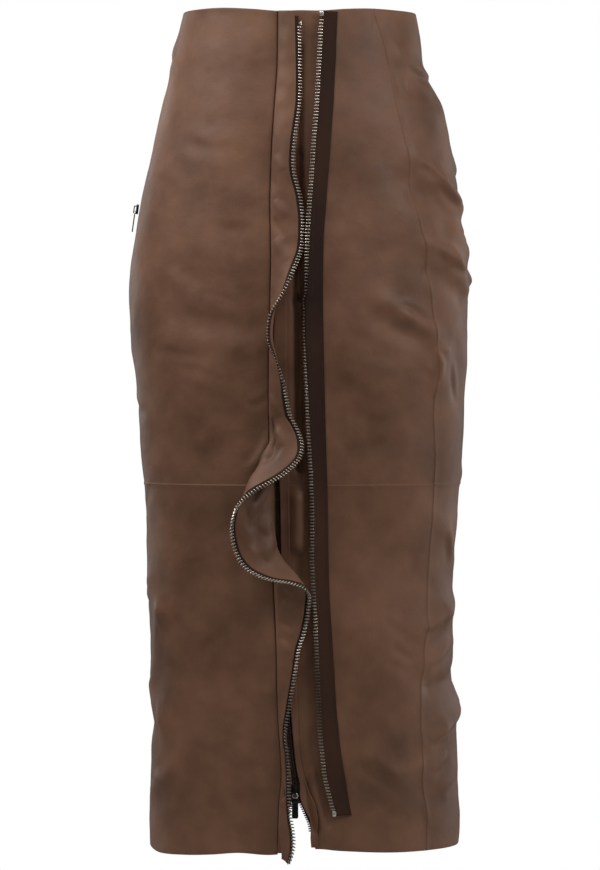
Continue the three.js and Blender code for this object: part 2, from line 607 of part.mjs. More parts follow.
function addStops() {
  const trimOut = SEAM_GAP + TAPE / 2 + TRIM_RISE;
  const trimPoint = (down) => offFront(TRIM.teeth(down), down, trimOut);
  const ahead = new THREE.Vector3(0, -1, 0);
  addStop('trim_stop_top', trimPoint(TRIM_TOP + 3), trimPoint(TRIM_TOP + 12), ahead);
  addStop('trim_stop_bottom', trimPoint(TRIM_END - 2), trimPoint(TRIM_END + 6), ahead);
}

// ---------- pocket zip in the left side seam ----------
function sideStrip(top, bottom, rows, halfWidth, out, thickness) {
  const face = (side) => (u, v) => {
    const down = mix(bottom, top, v);
    const reach = degreesFor(mix(-halfWidth, halfWidth, u), POCKET.angle, down);
    return offBody(POCKET.angle + reach, down, out + side * thickness / 2);
  };
  return wall(1, rows, face(1), face(-1));
}

function addPocketZip() {
  const { angle, top, bottom } = POCKET;
  const tapeOut = -LEATHER - LINING_GAP - TAPE;
  const chainOut = tapeOut + TAPE / 2 + SEAM_GAP + POCKET.chainDepth / 2;
  add('pocket_tape', sideStrip(top - 4, bottom + 4, 12, 8, tapeOut, TAPE), 'tape');
  add('pocket_chain', sideStrip(top + 2, bottom - 6, 12, 2.0, chainOut, POCKET.chainDepth), 'teeth');
  const { down, scale, lean } = POCKET_SLIDER;
  const origin = offBody(angle, down, SEAM_GAP + scale * (SLIDER.plate + HINGE_OUT));
  const up = new THREE.Vector3(lean, 0, 1).normalize();
  const outward = new THREE.Vector3(-1, 0, lean).normalize();
  const group = standOn(origin, outward, up);
  add('pocket_slider', sliderSolid().scale(scale, scale, scale), 'darkMetal', group);
  add('pocket_pull', pullSolid().scale(scale, scale, scale), 'darkMetal', group);
}

addPanels();
addClosingZip();
addClosingSlider();
addRuffle();
addTrimZip();
addStops();
addPocketZip();

export default skirt;
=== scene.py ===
"""Ruffled maxi skirt in soft brown leather: folds, seams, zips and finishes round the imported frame.

Shapes are worked out in millimetres and written to the meshes in metres. "down" is the distance
below the waist and "out" the distance outside the leather's face. Angles go round the body from
the front (0) through the right side (90) and the back (180) to the left side (270, or -90).
"""

import json
import math
from types import SimpleNamespace

import bmesh
import bpy
import numpy as np
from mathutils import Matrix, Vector


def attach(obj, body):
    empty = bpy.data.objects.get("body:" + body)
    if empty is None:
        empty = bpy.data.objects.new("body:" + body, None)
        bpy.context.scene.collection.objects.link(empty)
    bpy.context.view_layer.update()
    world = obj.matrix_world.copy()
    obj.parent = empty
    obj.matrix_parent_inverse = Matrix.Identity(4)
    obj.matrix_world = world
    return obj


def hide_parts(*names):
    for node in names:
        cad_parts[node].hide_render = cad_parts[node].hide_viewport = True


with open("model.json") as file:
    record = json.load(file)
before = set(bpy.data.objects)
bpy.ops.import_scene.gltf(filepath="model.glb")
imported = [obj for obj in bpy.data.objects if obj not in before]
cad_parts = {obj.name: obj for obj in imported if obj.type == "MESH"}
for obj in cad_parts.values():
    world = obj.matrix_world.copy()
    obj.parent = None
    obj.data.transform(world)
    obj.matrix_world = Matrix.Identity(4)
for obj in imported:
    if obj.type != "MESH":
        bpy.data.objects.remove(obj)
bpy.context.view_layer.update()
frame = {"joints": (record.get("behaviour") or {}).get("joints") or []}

MM = 0.001

# ---------- driving sizes, in millimetres ----------
LEATHER = 1.2             # wall of the panels
SEAM_GAP = 0.3            # between a panel and what is sewn on it
KNEE_SEAM = 490           # place of the seam across the knees
LOWER_LENGTH = 378        # from that seam to the hem
TAPE = 0.8                # woven zip tape
HEAVY_TEETH = 4.6         # width of one row of the large teeth
HEAVY_PITCH = 3.3         # from one large tooth to the next
FINE_PITCH = 2.4          # from one tooth of the closing zip to the next
BAND = 2.2                # ruffle band, two leathers thick
GUARD_WALL = 1.4          # folded guard behind the closing zip
TAPE_OUT = -2.45          # closing tapes, behind the leather's face
FOLD_MM_PER_DEGREE = 2.62 # girth that one degree covers, for placing folds
BAND_RELIEF = 2.6         # how much the ruffle's creases are drawn out
PANEL_STEP = 2.6          # spacing of the points on a panel
HEM_TURN = 26             # leather turned up inside the hem
WAIST_TURN = 34           # leather turned down inside the waist
TURN_RADIUS = 1.35        # roundness of the turned waist and hem
ROUNDNESS = 2.25          # exponent of the oval sections
FAR_OFF = 99              # past the reach of any seam's relief
STITCH_PITCH = 3.0        # from one stitch to the next
RAMP_LENGTH = 900         # what a table of painted light and shade down the skirt spans
# Faint unevenness of the hide: wave length, height, how many
HIDE_WAVES = ((90, 0.50, 10), (46, 0.22, 16), (24, 0.10, 24), (13, 0.035, 24))


# ---------- tables and curves ----------
def smooth(places, values):
    """Cubic through the rows of a table, held level past both ends."""
    places, values = np.array(places, float), np.array(values, float)
    slopes = np.gradient(values, places)
    slopes[1:-1] = (values[2:] - values[:-2]) / (places[2:] - places[:-2])

    def at(place):
        place = np.clip(place, places[0], places[-1])
        i = np.clip(np.searchsorted(places, place, side="right") - 1, 0, len(places) - 2)
        span = places[i + 1] - places[i]
        t = (place - places[i]) / span
        start = (1 + 2 * t) * (1 - t) ** 2 * values[i] + t * (1 - t) ** 2 * span * slopes[i]
        return start + t * t * (3 - 2 * t) * values[i + 1] + t * t * (t - 1) * span * slopes[i + 1]

    return at


def table(names, rows):
    """One smooth function of the first column for each of the other columns."""
    columns = list(zip(*rows))
    return SimpleNamespace(**{
        name: smooth(columns[0], column) for name, column in zip(names.split(), columns[1:])
    })


def mix(a, b, t):
    return a + (b - a) * t


def ease(value, start, end):
    t = np.clip((value - start) / (end - start), 0, 1)
    return t * t * (3 - 2 * t)


def between(value, start, full, fading, gone):
    """1 from full to fading, easing down to 0 at start and at gone."""
    return ease(value, start, full) * (1 - ease(value, fading, gone))


def hump(distance, width):
    """A round rise of 1 that dies away to both sides."""
    return np.exp(-((distance / width) ** 2))


# ---------- shape tables: the first column is the distance below the waist ----------
BODY = table("left right front back", [
    (0, 122.3, 121.3, 90, 93), (31, 129.0, 126.8, 93, 97), (63, 135.6, 132.8, 96, 101),
    (95, 144.4, 149.0, 100, 107), (142, 154.6, 159.2, 105, 117), (205, 168.6, 168.6, 110, 128),
    (252, 175.2, 174.0, 113, 133), (300, 178.6, 176.4, 115, 134), (347, 176.4, 176.2, 116, 131),
    (394, 171.0, 174.6, 115, 126), (457, 166.2, 170.4, 114, 121), (520, 160.6, 165.8, 113, 118),
    (583, 159.0, 161.2, 113, 117), (646, 156.8, 160.6, 114, 117), (709, 155.4, 162.6, 115, 118),
    (772, 155.6, 165.6, 116, 119), (835, 157.0, 167.0, 117, 120), (880, 157.0, 168.0, 118, 121),
])
HEM = table("down", [
    (-90, 871), (-72, 875.5), (-55, 875), (-42, 873), (-30, 870.5), (-14, 872), (8, 866), (20, 868),
    (45, 871), (70, 870), (90, 868), (125, 852), (180, 838), (235, 853), (270, 871),
])
WAIST = table("down", [
    (-90, -0.8), (-62, -3.0), (-48, -3.6), (-30, -1.8), (-14, 0.4), (0, -0.2), (14, 0.0), (30, -1.9),
    (45, -2.6), (62, -1.6), (90, -0.6), (180, -3), (270, -0.8),
])
LEFT_SEAM = table("x", [
    (0, -22.6), (56, -23.2), (95, -25.9), (148, -29.2), (195, -30.4), (262, -29.8), (354, -32.0),
    (455, -31.4), (484, -28.6), (545, -27.6), (589, -27.3), (645, -24.9), (732, -22.2), (768, -19.6),
    (795, -18.8), (821, -21.4), (880, -23.4),
])
RIGHT_SEAM = table("x", [
    (0, 76.3), (35, 86.6), (85, 97.0), (134, 108.4), (206, 119.9), (255, 131.3), (299, 135.4),
    (351, 140.6), (424, 139.6), (495, 139.6), (548, 135.4), (611, 132.3), (673, 128.2),
    (735, 125.0), (787, 126.1), (839, 131.3), (880, 131.3),
])
CLOSING = table("left right panel", [
    (0, -15.6, -13.6, -11.4), (60, -16.6, -14.6, -12.4), (150, -22.2, -20.2, -18.0),
    (262, -22.6, -20.6, -18.4), (354, -25.2, -23.2, -21.0), (455, -24.8, -22.8, -20.6),
    (495, -24.2, -22.2, -19.8), (550, -23.8, -21.8, -19.2), (589, -22.5, -20.5, -17.8),
    (645, -20.0, -18.0, -15.0), (714, -14.5, -12.5, -9.0), (768, -9.8, -7.8, -4.0),
    (795, -6.2, -4.2, 1.0), (811, -5.8, -3.4, 5.0), (820, -8.4, 1.0, 8.5), (829, -11.0, 5.4, 12.0),
    (842, -12.8, 11.6, 15.6), (880, -13.8, 13.4, 17.0),
])
GUARD = table("left right", [
    (0, -18.2, -9.8), (60, -18.8, -10.8), (150, -24.2, -12.9), (262, -24.8, -13.2),
    (354, -26.6, -13.4), (440, -26.0, -11.8), (470, -23.8, -11.0), (490, -20.6, -10.3),
    (550, -19.3, -9.3), (577, -19.4, -8.5), (608, -18.4, -7.7), (670, -13.8, -4.2),
    (714, -9.8, -2.1), (768, -5.2, 0.6), (786, -2.6, 4.0), (797, -0.2, 8.0), (811, 0.2, 13.5),
    (819, 2.6, 17.0), (828, 6.6, 18.8), (837, 10.4, 20.0), (857, 11.4, 18.8), (880, 13.9, 17.4),
])
TRIM = table("teeth edge", [
    (3, 22.2, 39.7), (42, 20.1, 37.8), (93, 17.6, 35.2), (135, 14.4, 32.4), (176, 11.8, 29.4),
    (207, 9.8, 27.0), (234, 8.7, 25.0), (289, 7.8, 24.2), (330, 7.6, 24.6), (392, 9.1, 26.0),
    (433, 10.1, 27.0), (474, 11.3, 28.3), (526, 11.8, 29.4), (567, 12.4, 30.0),
    (608, 14.4, 31.1), (634, 15.9, 32.8), (678, 17.6, 35.6), (714, 19.0, 38.0),
    (750, 20.9, 41.2), (767, 22.9, 42.8), (788, 24.9, 45.8), (802, 28.0, 48.4),
    (820, 32.3, 51.8), (834, 36.6, 54.4),
])
RUFFLE = table("edge_x edge_down edge_out bow_x bow_out", [
    (0, -0.5, 0.2, 6, 9, 8.5), (42, 0.5, 42, 6, 9, 8.5), (93, 0.5, 93, 6, 10, 9),
    (119, -2.6, 118, 7, 10, 9.5), (145, -5.9, 145, 8, 9, 10), (167, -5.7, 167, 8, 9, 10),
    (191, 0.3, 191, 7, 11, 9), (212, 3.0, 212, 6.6, 12, 9.5), (227, 3.2, 228, 6.6, 12, 9.5),
    (246, 1.6, 247, 8, 12, 10), (260, -3.0, 261, 13, 13, 11), (277, -10.8, 279, 19, 13, 12),
    (293, -19.0, 296, 23, 10, 14), (308, -28.2, 310, 26, 7, 15), (324, -32.3, 325, 27, 5, 15),
    (341, -32.3, 341, 27, 5, 15), (355, -27.2, 354, 25, 8, 14), (371, -21.1, 369, 22, 10, 13),
    (389, -15.9, 387, 17, 11, 12), (404, -12.9, 403, 13, 11, 11), (419, -9.8, 418, 11, 10, 10),
    (429, -3.4, 430, 10, 9, 11), (437, 1.0, 441, 11, 5, 13), (444, 2.6, 452, 15, -3, 15),
    (450, -0.9, 463, 21, -9, 16), (456, -12.8, 475, 29, -16, 17), (463, -28.2, 485, 35, -27, 18),
    (471, -44.5, 494, 37, -34, 19), (481, -57.9, 504, 34, -31, 20), (493, -66.1, 516, 30, -26, 22),
    (508, -69.8, 531, 27, -17, 23), (524, -68.2, 549, 26, -8, 24), (539, -62.0, 566, 27, 3, 24),
    (552, -50.7, 578, 30, 12, 23), (564, -32.3, 586, 33, 22, 22), (575, -9.7, 590, 32, 31, 20),
    (585, 4.6, 595, 26, 34, 18), (595, 9.4, 602, 19, 30, 14), (608, 9.6, 612, 15, 24, 11),
    (626, 8.0, 626, 13, 20, 10), (643, 4.4, 643, 11, 17, 9), (661, -1.0, 660, 9, 13, 8),
    (686, -4.8, 685, 7, 10, 7.5), (716, -10.0, 716, 7, 7, 7.5), (747, -14.4, 748, 7, 5, 7.5),
    (768, -12.2, 768, 7.5, 5, 8), (786, -11.0, 786, 8, 5, 8), (814, -10.6, 814, 9, 6, 9),
    (834, -9.2, 834, 10, 7, 9), (846, -7.0, 847, 11, 8, 9), (857, -6.4, 861, 11, 8, 9),
    (867, -8.6, 873, 11, 8, 9), (876, -12.4, 882, 10, 6, 8),
])
RUFFLE_TOP, RUFFLE_END, RUFFLE_STOP = 0.6, 876, 10.5
TRIM_TOP, TRIM_END, TRIM_RISE = 1.2, 831, 6.6
TRIM_TEETH_OUT = SEAM_GAP + TAPE / 2 + TRIM_RISE
SLIDER_TOP, SLIDER_LENGTH = 801, 11
CLOSING_TOP, OPEN_LEFT_END, OPEN_RIGHT_END = 8, 856, 848
POCKET = SimpleNamespace(angle=-90, top=200, bottom=347, half_gap=2.9)

# Large folds, shared with the solids: angle, down, to angle, to down, width, lift
FOLDS = [
    (58, 46, 80, 66, 12, 3.6), (63, 80, 78, 92, 11, -2.6),
    (57, 150, 67, 174, 13, 3.6), (67, 174, 82, 202, 12, 6.0), (52, 178, 72, 222, 12, -3.2),
    (75, 228, 92, 248, 11, 4.6), (61, 241, 70, 255, 10, 4.4), (70, 255, 82, 283, 11, 5.0),
    (58, 268, 76, 296, 10, -3.2), (40, 302, 49, 316, 11, 2.8), (49, 316, 60, 332, 11, 3.4),
    (39, 320, 58, 346, 12, -3.0), (60, 346, 63, 384, 11, 3.0), (74, 350, 77, 400, 13, -3.4),
    (86, 482, 92, 486, 9, 2.2), (72, 540, 80, 572, 12, 2.6), (57, 646, 74, 626, 12, 3.4),
    (74, 626, 90, 618, 11, 3.8), (62, 676, 80, 656, 12, 3.2), (64, 702, 92, 690, 10, -4.4),
    (60, 760, 68, 746, 12, 3.6), (68, 746, 90, 722, 12, 5.0),
    (69, 806, 80, 786, 11, 2.6), (34, 772, 46, 794, 13, 2.6), (46, 794, 55, 782, 12, 2.6),
    (24, 792, 47, 820, 16, 2.0), (30, 600, 52, 570, 22, -1.8),
    (3.2, 800, 8, 846, 5, -3.2), (6.5, 788, 12.5, 846, 6, 2.2),
    (-84, 36, -80, 54, 12, 2.2), (-80, 594, -70, 626, 12, 3.4), (-70, 626, -80, 694, 12, 3.0),
    (-86, 704, -68, 746, 12, 3.2), (-92, 736, -84, 744, 12, -3.4), (-64, 792, -80, 812, 11, 2.4),
    (-60, 276, -50, 290, 12, 1.6),
    (-47, 298, -29, 312, 14, 1.8), (-58, 342, -22, 346, 14, 1.8), (-62, 364, -36, 388, 14, 1.6),
    (-50, 326, -24, 330, 16, -1.6), (-40, 455, -18, 430, 16, -2.0), (-52, 660, -24, 640, 24, -2.0),
    (-1, 40, -1, 140, 7, -4.5), (-0.4, 150, -0.4, 300, 6, -9.5), (0.2, 300, 0.6, 470, 6, -11.0),
    (-1, 506, -1, 550, 9.5, 6.0), (0, 568, 0, 585, 7, -2.6),
    (180, 40, 180, 120, 34, -4.0), (140, 210, 172, 236, 16, 2.4), (220, 210, 188, 236, 16, 2.4),
    (130, 380, 172, 352, 15, -3.0), (232, 384, 190, 356, 15, -2.8), (128, 402, 168, 382, 14, 2.6),
    (234, 410, 196, 384, 14, 2.4), (118, 560, 160, 534, 16, 2.8), (240, 566, 204, 540, 16, 2.6),
    (122, 590, 170, 566, 15, -2.8), (236, 598, 196, 572, 15, -2.4), (110, 700, 150, 668, 14, 3.0),
    (250, 706, 214, 676, 14, 2.8), (108, 782, 140, 756, 13, 2.8), (256, 770, 226, 752, 13, 2.4),
]

# Finer creases: angle, down, to angle, to down, bow, width, lift, and the trough's depth
# along its lower side (or its left side, where the crease runs straight down).
CREASES = [
    # right hip, from the waist to the thigh
    (62, 52, 87, 67, 3, 5.6, 1.9, 1.9), (55, 69, 60, 84, 1, 6, 0.7, 0.5),
    (46, 4, 45, 22, 1, 5, -0.8, 0), (59, 154, 68, 176, -2, 6.2, 2.1, 1.6),
    (66, 172, 81, 200, 3, 5.6, 2.9, 2.6), (60, 172, 76, 219, 5, 8, -1.2, 0),
    (63, 243, 70, 256, 1, 6.2, 1.6, 1.4), (69, 254, 80, 268, 2, 5.6, 2.6, 2.2),
    (79, 266, 89, 286, 2, 5.6, 2.4, 2.1), (59, 260, 60, 300, 3, 5, 0.8, 0.8),
    (54, 274, 58, 259, 1, 6, 0.7, 0.5), (47, 299, 59, 319, -3, 6.2, 1.6, 1.6),
    (44, 318, 60, 337, -3, 7.5, 1.4, 1.4), (61, 349, 62, 384, -3, 5.6, 2.1, 1.6),
    (62, 346, 69, 353, 2, 5.6, 1.4, 1.1), (72, 362, 78, 405, 3, 6.2, 1.8, 1.4),
    (55, 362, 61, 375, 1, 6, 0.6, 0.5), (86, 150, 100, 172, 2, 6.2, 1.9, 1.6),
    (84, 226, 104, 236, -2, 7.5, 2.1, 1.8), (90, 300, 108, 312, 2, 7.5, 1.6, 1.4),
    # right leg
    (47, 476, 59, 444, 4, 9, 0.6, 0.5), (15, 428, 30, 464, 4, 9, -0.8, 0),
    (15, 454, 19, 481, 2, 6, -0.6, 0), (72, 538, 78, 574, -3, 7.5, 1.4, 1.3),
    (43, 622, 54, 641, 3, 7, 0.7, 0.6), (46, 652, 57, 667, 2, 6, 0.7, 0.7),
    (41, 669, 54, 680, -2, 7, 0.6, 0.5), (59, 643, 71, 626, 2, 5.6, 2.1, 1.6),
    (62, 679, 77, 653, 2, 6.2, 1.9, 1.6), (60, 757, 70, 745, 2, 5.6, 1.9, 1.4),
    (69, 746, 88, 724, 3, 5.6, 2.4, 2.1), (62, 788, 73, 772, 2, 6.2, 1.4, 1.3),
    (69, 808, 81, 789, 2, 6.2, 1.8, 1.4), (35, 770, 47, 791, 3, 6, 0.9, 0.8),
    (47, 791, 56, 780, 2, 6, 0.9, 0.8), (26, 789, 46, 817, 4, 8, 0.8, 0.7),
    (29, 779, 47, 806, 4, 7, -0.7, 0), (40, 822, 52, 829, 2, 7, 0.6, 0.5),
    (58, 816, 61, 850, 2, 5, 0.6, 0.5),
    # left hip and leg
    (-88, 34, -71, 56, 2, 5, 0.8, 0.7), (-72, 606, -69, 654, -4, 6, 1.0, 0.8),
    (-73, 714, -67, 748, 3, 5, 1.1, 0.9), (-83, 792, -66, 810, -3, 5, 0.9, 0.7),
    (-46, 211, -23, 219, 3, 9, 0.5, 0.4), (-52, 299, -45, 313, 2, 7, 0.5, 0.5),
    (-47, 284, -20, 310, -4, 9, 0.5, 0.6), (-63, 341, -46, 351, 2, 8, 0.5, 0.5),
    (-60, 360, -31, 381, -4, 8, 0.6, 0.6), (-26, 403, -16, 393, 2, 6, 0.7, 0.6),
    (-29, 470, -18, 428, 5, 10, -2.4, 0.0), (-24, 474, -17, 446, 4, 6, 1.0, 0.8),
    (-25, 804, -15, 798, 2, 7, 0.6, 0.5),
    (-88, 520, -74, 486, -3, 7, 0.7, 0.6), (-65, 122, -27, 134, 4, 11, 0.5, 0.5),
    (-84, 160, -60, 178, -3, 9, 0.6, 0.5), (-96, 392, -72, 410, 3, 8, 0.8, 0.7),
    (-100, 600, -82, 616, -2, 6, 1.0, 0.9), (-98, 676, -80, 690, 3, 6, 0.9, 0.8),
    # back, from the waist to the seat
    (150, 22, 168, 34, 3, 7, 0.8, 0.7), (210, 24, 194, 38, -3, 7, 0.8, 0.7),
    (112, 60, 134, 84, 4, 7, 0.9, 0.8), (246, 66, 228, 92, -4, 7, 0.9, 0.8),
    (104, 118, 126, 134, 3, 6, 1.0, 0.9), (255, 126, 236, 144, -3, 6, 1.0, 0.8),
    (166, 92, 176, 128, 3, 9, -0.8, 0.0), (196, 96, 186, 132, 3, 9, -0.8, 0.0),
    (118, 226, 146, 244, 5, 8, 0.8, 0.7), (242, 232, 214, 248, -5, 8, 0.8, 0.7),
    # back of the thighs and knees
    (126, 348, 166, 330, 6, 7, 1.1, 1.0), (236, 354, 196, 334, -6, 7, 1.1, 0.9),
    (120, 372, 158, 362, 4, 6, 1.2, 1.1), (240, 380, 204, 366, -4, 6, 1.1, 1.0),
    (130, 412, 170, 396, 5, 7, 0.9, 0.8), (232, 420, 192, 400, -5, 7, 0.9, 0.8),
    (112, 452, 138, 440, 3, 6, 0.8, 0.7), (252, 458, 228, 446, -3, 6, 0.8, 0.7),
    (116, 548, 152, 522, 5, 6, 1.3, 1.2), (244, 554, 210, 528, -5, 6, 1.2, 1.1),
    (122, 574, 168, 552, 6, 6, 1.2, 1.1), (238, 582, 194, 556, -6, 6, 1.1, 1.0),
    (108, 602, 138, 590, 3, 6, 1.0, 0.9), (254, 608, 222, 594, -3, 6, 1.0, 0.9),
    # back of the calves and hem
    (106, 686, 142, 656, 4, 6, 1.2, 1.1), (254, 692, 220, 664, -4, 6, 1.1, 1.0),
    (118, 716, 158, 694, 5, 7, 0.9, 0.8), (244, 722, 204, 700, -5, 7, 0.9, 0.8),
    (104, 768, 134, 742, 4, 6, 1.1, 1.0), (258, 760, 230, 742, -4, 6, 1.0, 0.9),
    (128, 800, 162, 786, 4, 7, 0.8, 0.7), (236, 806, 200, 790, -4, 7, 0.8, 0.7),
]

# Ruffle band: height of the root, distance out from the root, to the same, width, lift
BAND_CREASES = [
    (150, 8, 166, 18, 5, 0.5), (196, 8, 214, 20, 5, 0.6), (214, 6, 236, 17, 4, -0.6),
    (236, 8, 258, 22, 5, 0.6), (396, 6, 420, 16, 5, 0.7), (420, 4, 452, 15, 4.5, -1.9),
    (428, 8, 446, 24, 4, 1.3), (438, 12, 458, 26, 4, -1.4), (446, 6, 474, 20, 5, 1.2),
    (462, 10, 484, 30, 6, -1.1), (476, 8, 498, 34, 6, 1.1), (492, 14, 506, 40, 6, -1.2),
    (508, 20, 520, 42, 6, 1.2), (516, 8, 532, 24, 5, -0.9), (524, 26, 536, 44, 5, 1.0),
    (536, 12, 548, 38, 6, -1.0), (548, 14, 560, 46, 6, 0.9), (560, 10, 580, 40, 6, -0.9),
    (596, 8, 612, 26, 5, -0.8), (612, 10, 622, 28, 5, 0.6), (628, 6, 640, 22, 5, -0.5),
    (650, 6, 664, 18, 5, 0.5), (742, 2, 762, 8, 4, 0.5), (800, 2, 816, 9, 4, -0.5),
]


# ---------- the filled-out body ----------
def smooth_body(angle, down):
    across, ahead = np.sin(np.radians(angle)), np.cos(np.radians(angle))
    side = np.where(across < 0, BODY.left(down), BODY.right(down))
    depth = np.where(ahead > 0, BODY.front(down), BODY.back(down))
    total = np.abs(across / side) ** ROUNDNESS + np.abs(ahead / depth) ** ROUNDNESS
    radius = total ** (-1 / ROUNDNESS)
    return radius * across, -radius * ahead


def angle_at(x, down):
    """The angle at which the front of the body is x right of the middle."""
    side = np.where(x < 0, BODY.left(down), BODY.right(down))
    reach = (1 - np.abs(x / side) ** ROUNDNESS) ** (1 / ROUNDNESS)
    return np.degrees(np.arctan2(x, BODY.front(down) * reach))


def along_run(x, y, run):
    """How far along a run a place lies (0 to 1), how far to its side, and the run's length."""
    length = np.hypot(*run)
    return (x * run[0] + y * run[1]) / length**2, (y * run[0] - x * run[1]) / length, length


def along_fold(angle, down, row):
    """The same for a fold, going the short way round the body; its lower side counts as plus."""
    start, start_down, end, end_down = row[:4]
    turned = angle - start - np.round((angle - (start + end) / 2) / 360) * 360
    run = (end - start) * FOLD_MM_PER_DEGREE, end_down - start_down
    return along_run(turned * FOLD_MM_PER_DEGREE, down - start_down, run)


def fold_lift(angle, down):
    lift = np.zeros(np.broadcast(angle, down).shape)
    for row in FOLDS:
        width, height = row[4:]
        t, aside, length = along_fold(angle, down, row)
        past = (t - np.clip(t, 0, 1)) * length
        lift += height * np.exp(-(past**2 + aside**2) / width**2)
    return lift


def crease_lift(angle, down):
    """A sharp ridge along each crease, steeper on its lower side, with a trough beside it."""
    lift = np.zeros(np.broadcast(angle, down).shape)
    for row in CREASES:
        bow, width, height, trough = row[4:]
        t, aside, _ = along_fold(angle, down, row)
        near = (t > 0) & (t < 1) & (np.abs(aside) < abs(bow) + 5 * width)
        t, aside = t[near], aside[near]
        bend = 4 * t * (1 - t)
        away = (aside - bow * bend) / width
        steepness = np.where(away > 0, 0.5, 1.1)
        lift[near] += (height * hump(away, steepness) - trough * hump(away - 1.1, 0.8)) * bend**0.8
    return lift


def make_softness():
    """Waves that make the hide's faint unevenness: direction, phase and height."""
    rng = np.random.default_rng(11)
    waves = []
    for length, height, count in HIDE_WAVES:
        for _ in range(count):
            heading = rng.normal(size=3) * (1, 1, 1.5)
            heading *= 2 * math.pi / length / np.linalg.norm(heading) * rng.uniform(0.8, 1.25)
            waves.append((heading, rng.uniform(0, 2 * math.pi), height / math.sqrt(count) * 1.4))
    return waves


SOFTNESS = make_softness()


def softness(x, y, down):
    return sum(h * np.sin(x * k[0] + y * k[1] + down * k[2] + phase) for k, phase, h in SOFTNESS)


def seam_ridge(beyond, height, width):
    """The swell just past a seam's line and the shallow dip round it."""
    return height * ease(beyond, -0.3, 0.1) * hump(beyond, width) - 0.2 * hump(beyond, 6)


def seam_relief(angle, down, x):
    """The low relief beside the knee seam and, in front, the right side seam."""
    ahead = np.cos(np.radians(angle)) > 0
    beyond = np.where(ahead, x - RIGHT_SEAM.x(down), FAR_OFF)
    return seam_ridge(down - KNEE_SEAM, 0.7, 2.8) + seam_ridge(beyond, 0.8, 3.2)


def surface(angle, down, creased=True):
    """A point of the leather's outer face, with less relief under the zips in front."""
    angle, down = np.broadcast_arrays(angle, down)
    x, y = smooth_body(angle, down)
    lift = fold_lift(angle, down)
    if creased:
        quiet = 1 - 0.75 * np.exp(-(((x - 2) / 34) ** 4)) * (y < 0)
        lift = lift + (crease_lift(angle, down) + softness(x, y, down)) * quiet
        lift = lift + seam_relief(angle, down, x)
    grown = 1 + lift / np.hypot(x, y)
    return np.stack([x * grown, y * grown, -down], -1)


def unit(vectors):
    return vectors / np.maximum(np.linalg.norm(vectors, axis=-1, keepdims=True), 1e-9)


def one_degree(angle, down):
    """How far one degree of the smooth body goes across and back."""
    x, y = smooth_body(angle + 0.5, down)
    x0, y0 = smooth_body(angle - 0.5, down)
    return x - x0, y - y0


def outward(angle, down, folded=True):
    """The direction out of the leather, without its fine creases."""
    if folded:
        along = surface(angle + 0.5, down, False) - surface(angle - 0.5, down, False)
        up = surface(angle, down - 1, False) - surface(angle, down + 1, False)
        return unit(np.cross(along, up))
    across, back = one_degree(angle, down)
    return unit(np.stack([back, -across, np.zeros_like(across)], -1))


def off_body(angle, down, out):
    angle, down = np.broadcast_arrays(np.asarray(angle, float), np.asarray(down, float))
    return surface(angle, down) + outward(angle, down) * np.asarray(out)[..., None]


def off_front(x, down, out):
    return off_body(angle_at(x, down), down, out)


def degrees_for(distance, angle, down):
    return distance / np.hypot(*one_degree(angle, down))


# ---------- closed sheets ----------
def new_mesh(name, points, faces):
    mesh = bpy.data.meshes.new(name)
    mesh.vertices.add(len(points))
    mesh.vertices.foreach_set("co", (points * MM).astype(np.float32).ravel())
    mesh.loops.add(faces.size)
    mesh.loops.foreach_set("vertex_index", faces.astype(np.int32).ravel())
    mesh.polygons.add(len(faces))
    mesh.polygons.foreach_set("loop_start", np.arange(0, faces.size, 4, dtype=np.int32))
    mesh.update(calc_edges=True)
    mesh.validate()
    mesh.shade_smooth()
    return mesh


def runs_of(points, axis):
    """Distance from the first point to each point of a grid, along one of its axes."""
    steps = np.diff(points, axis=axis, prepend=points.take([0], axis))
    return np.cumsum(np.linalg.norm(steps, axis=-1), axis)


def add_cloth_map(mesh, faces, outer):
    """A UV map in metres of cloth: across the piece and along it."""
    across = runs_of(outer, 1)
    along = np.broadcast_to(runs_of(outer, 0).mean(1, keepdims=True), across.shape)
    places = np.stack([across, along], -1).reshape(-1, 2) * MM
    places = np.concatenate([places, places])
    layer = mesh.uv_layers.new(name="cloth")
    layer.uv.foreach_set("vector", places[faces.ravel()].astype(np.float32).ravel())


def shell(name, outer, inner, finishes, replaces=()):
    """A closed sheet between two grids of points: rows go up it and columns go right."""
    rows, columns = outer.shape[:2]
    behind = rows * columns
    at = np.arange(behind).reshape(rows, columns)
    corners = [at[:-1, :-1], at[:-1, 1:], at[1:, 1:], at[1:, :-1]]
    front = np.stack(corners, -1).reshape(-1, 4)
    rim = np.concatenate([at[0, :-1], at[:-1, -1], at[-1, :0:-1], at[:0:-1, 0]])
    following = np.roll(rim, -1)
    side = np.stack([rim, rim + behind, following + behind, following], -1)
    faces = np.concatenate([front, side, front[:, ::-1] + behind])
    points = np.concatenate([outer.reshape(-1, 3), inner.reshape(-1, 3)])
    mesh = new_mesh(name, points, faces)
    add_cloth_map(mesh, faces, outer)
    for finish in finishes:
        mesh.materials.append(finish)
    if len(finishes) > 1:
        inside = np.zeros(len(faces), np.int32)
        inside[len(front) + len(side):] = 1
        mesh.polygons.foreach_set("material_index", inside)
    return place_piece(bpy.data.objects.new(name, mesh), replaces=replaces)


def place_piece(piece, body="root", replaces=()):
    bpy.context.scene.collection.objects.link(piece)
    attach(piece, body)
    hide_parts(*replaces)
    return piece


def grid_normals(points):
    return unit(np.cross(np.gradient(points, axis=1), np.gradient(points, axis=0)))


def slab(name, middle, half, finish, slot, replaces=()):
    """A sheet with half its wall on each side of its middle surface."""
    offset = grid_normals(middle) * np.broadcast_to(half, middle.shape[:2])[..., None]
    return shell(name, middle + offset, middle - offset, [finish], replaces)


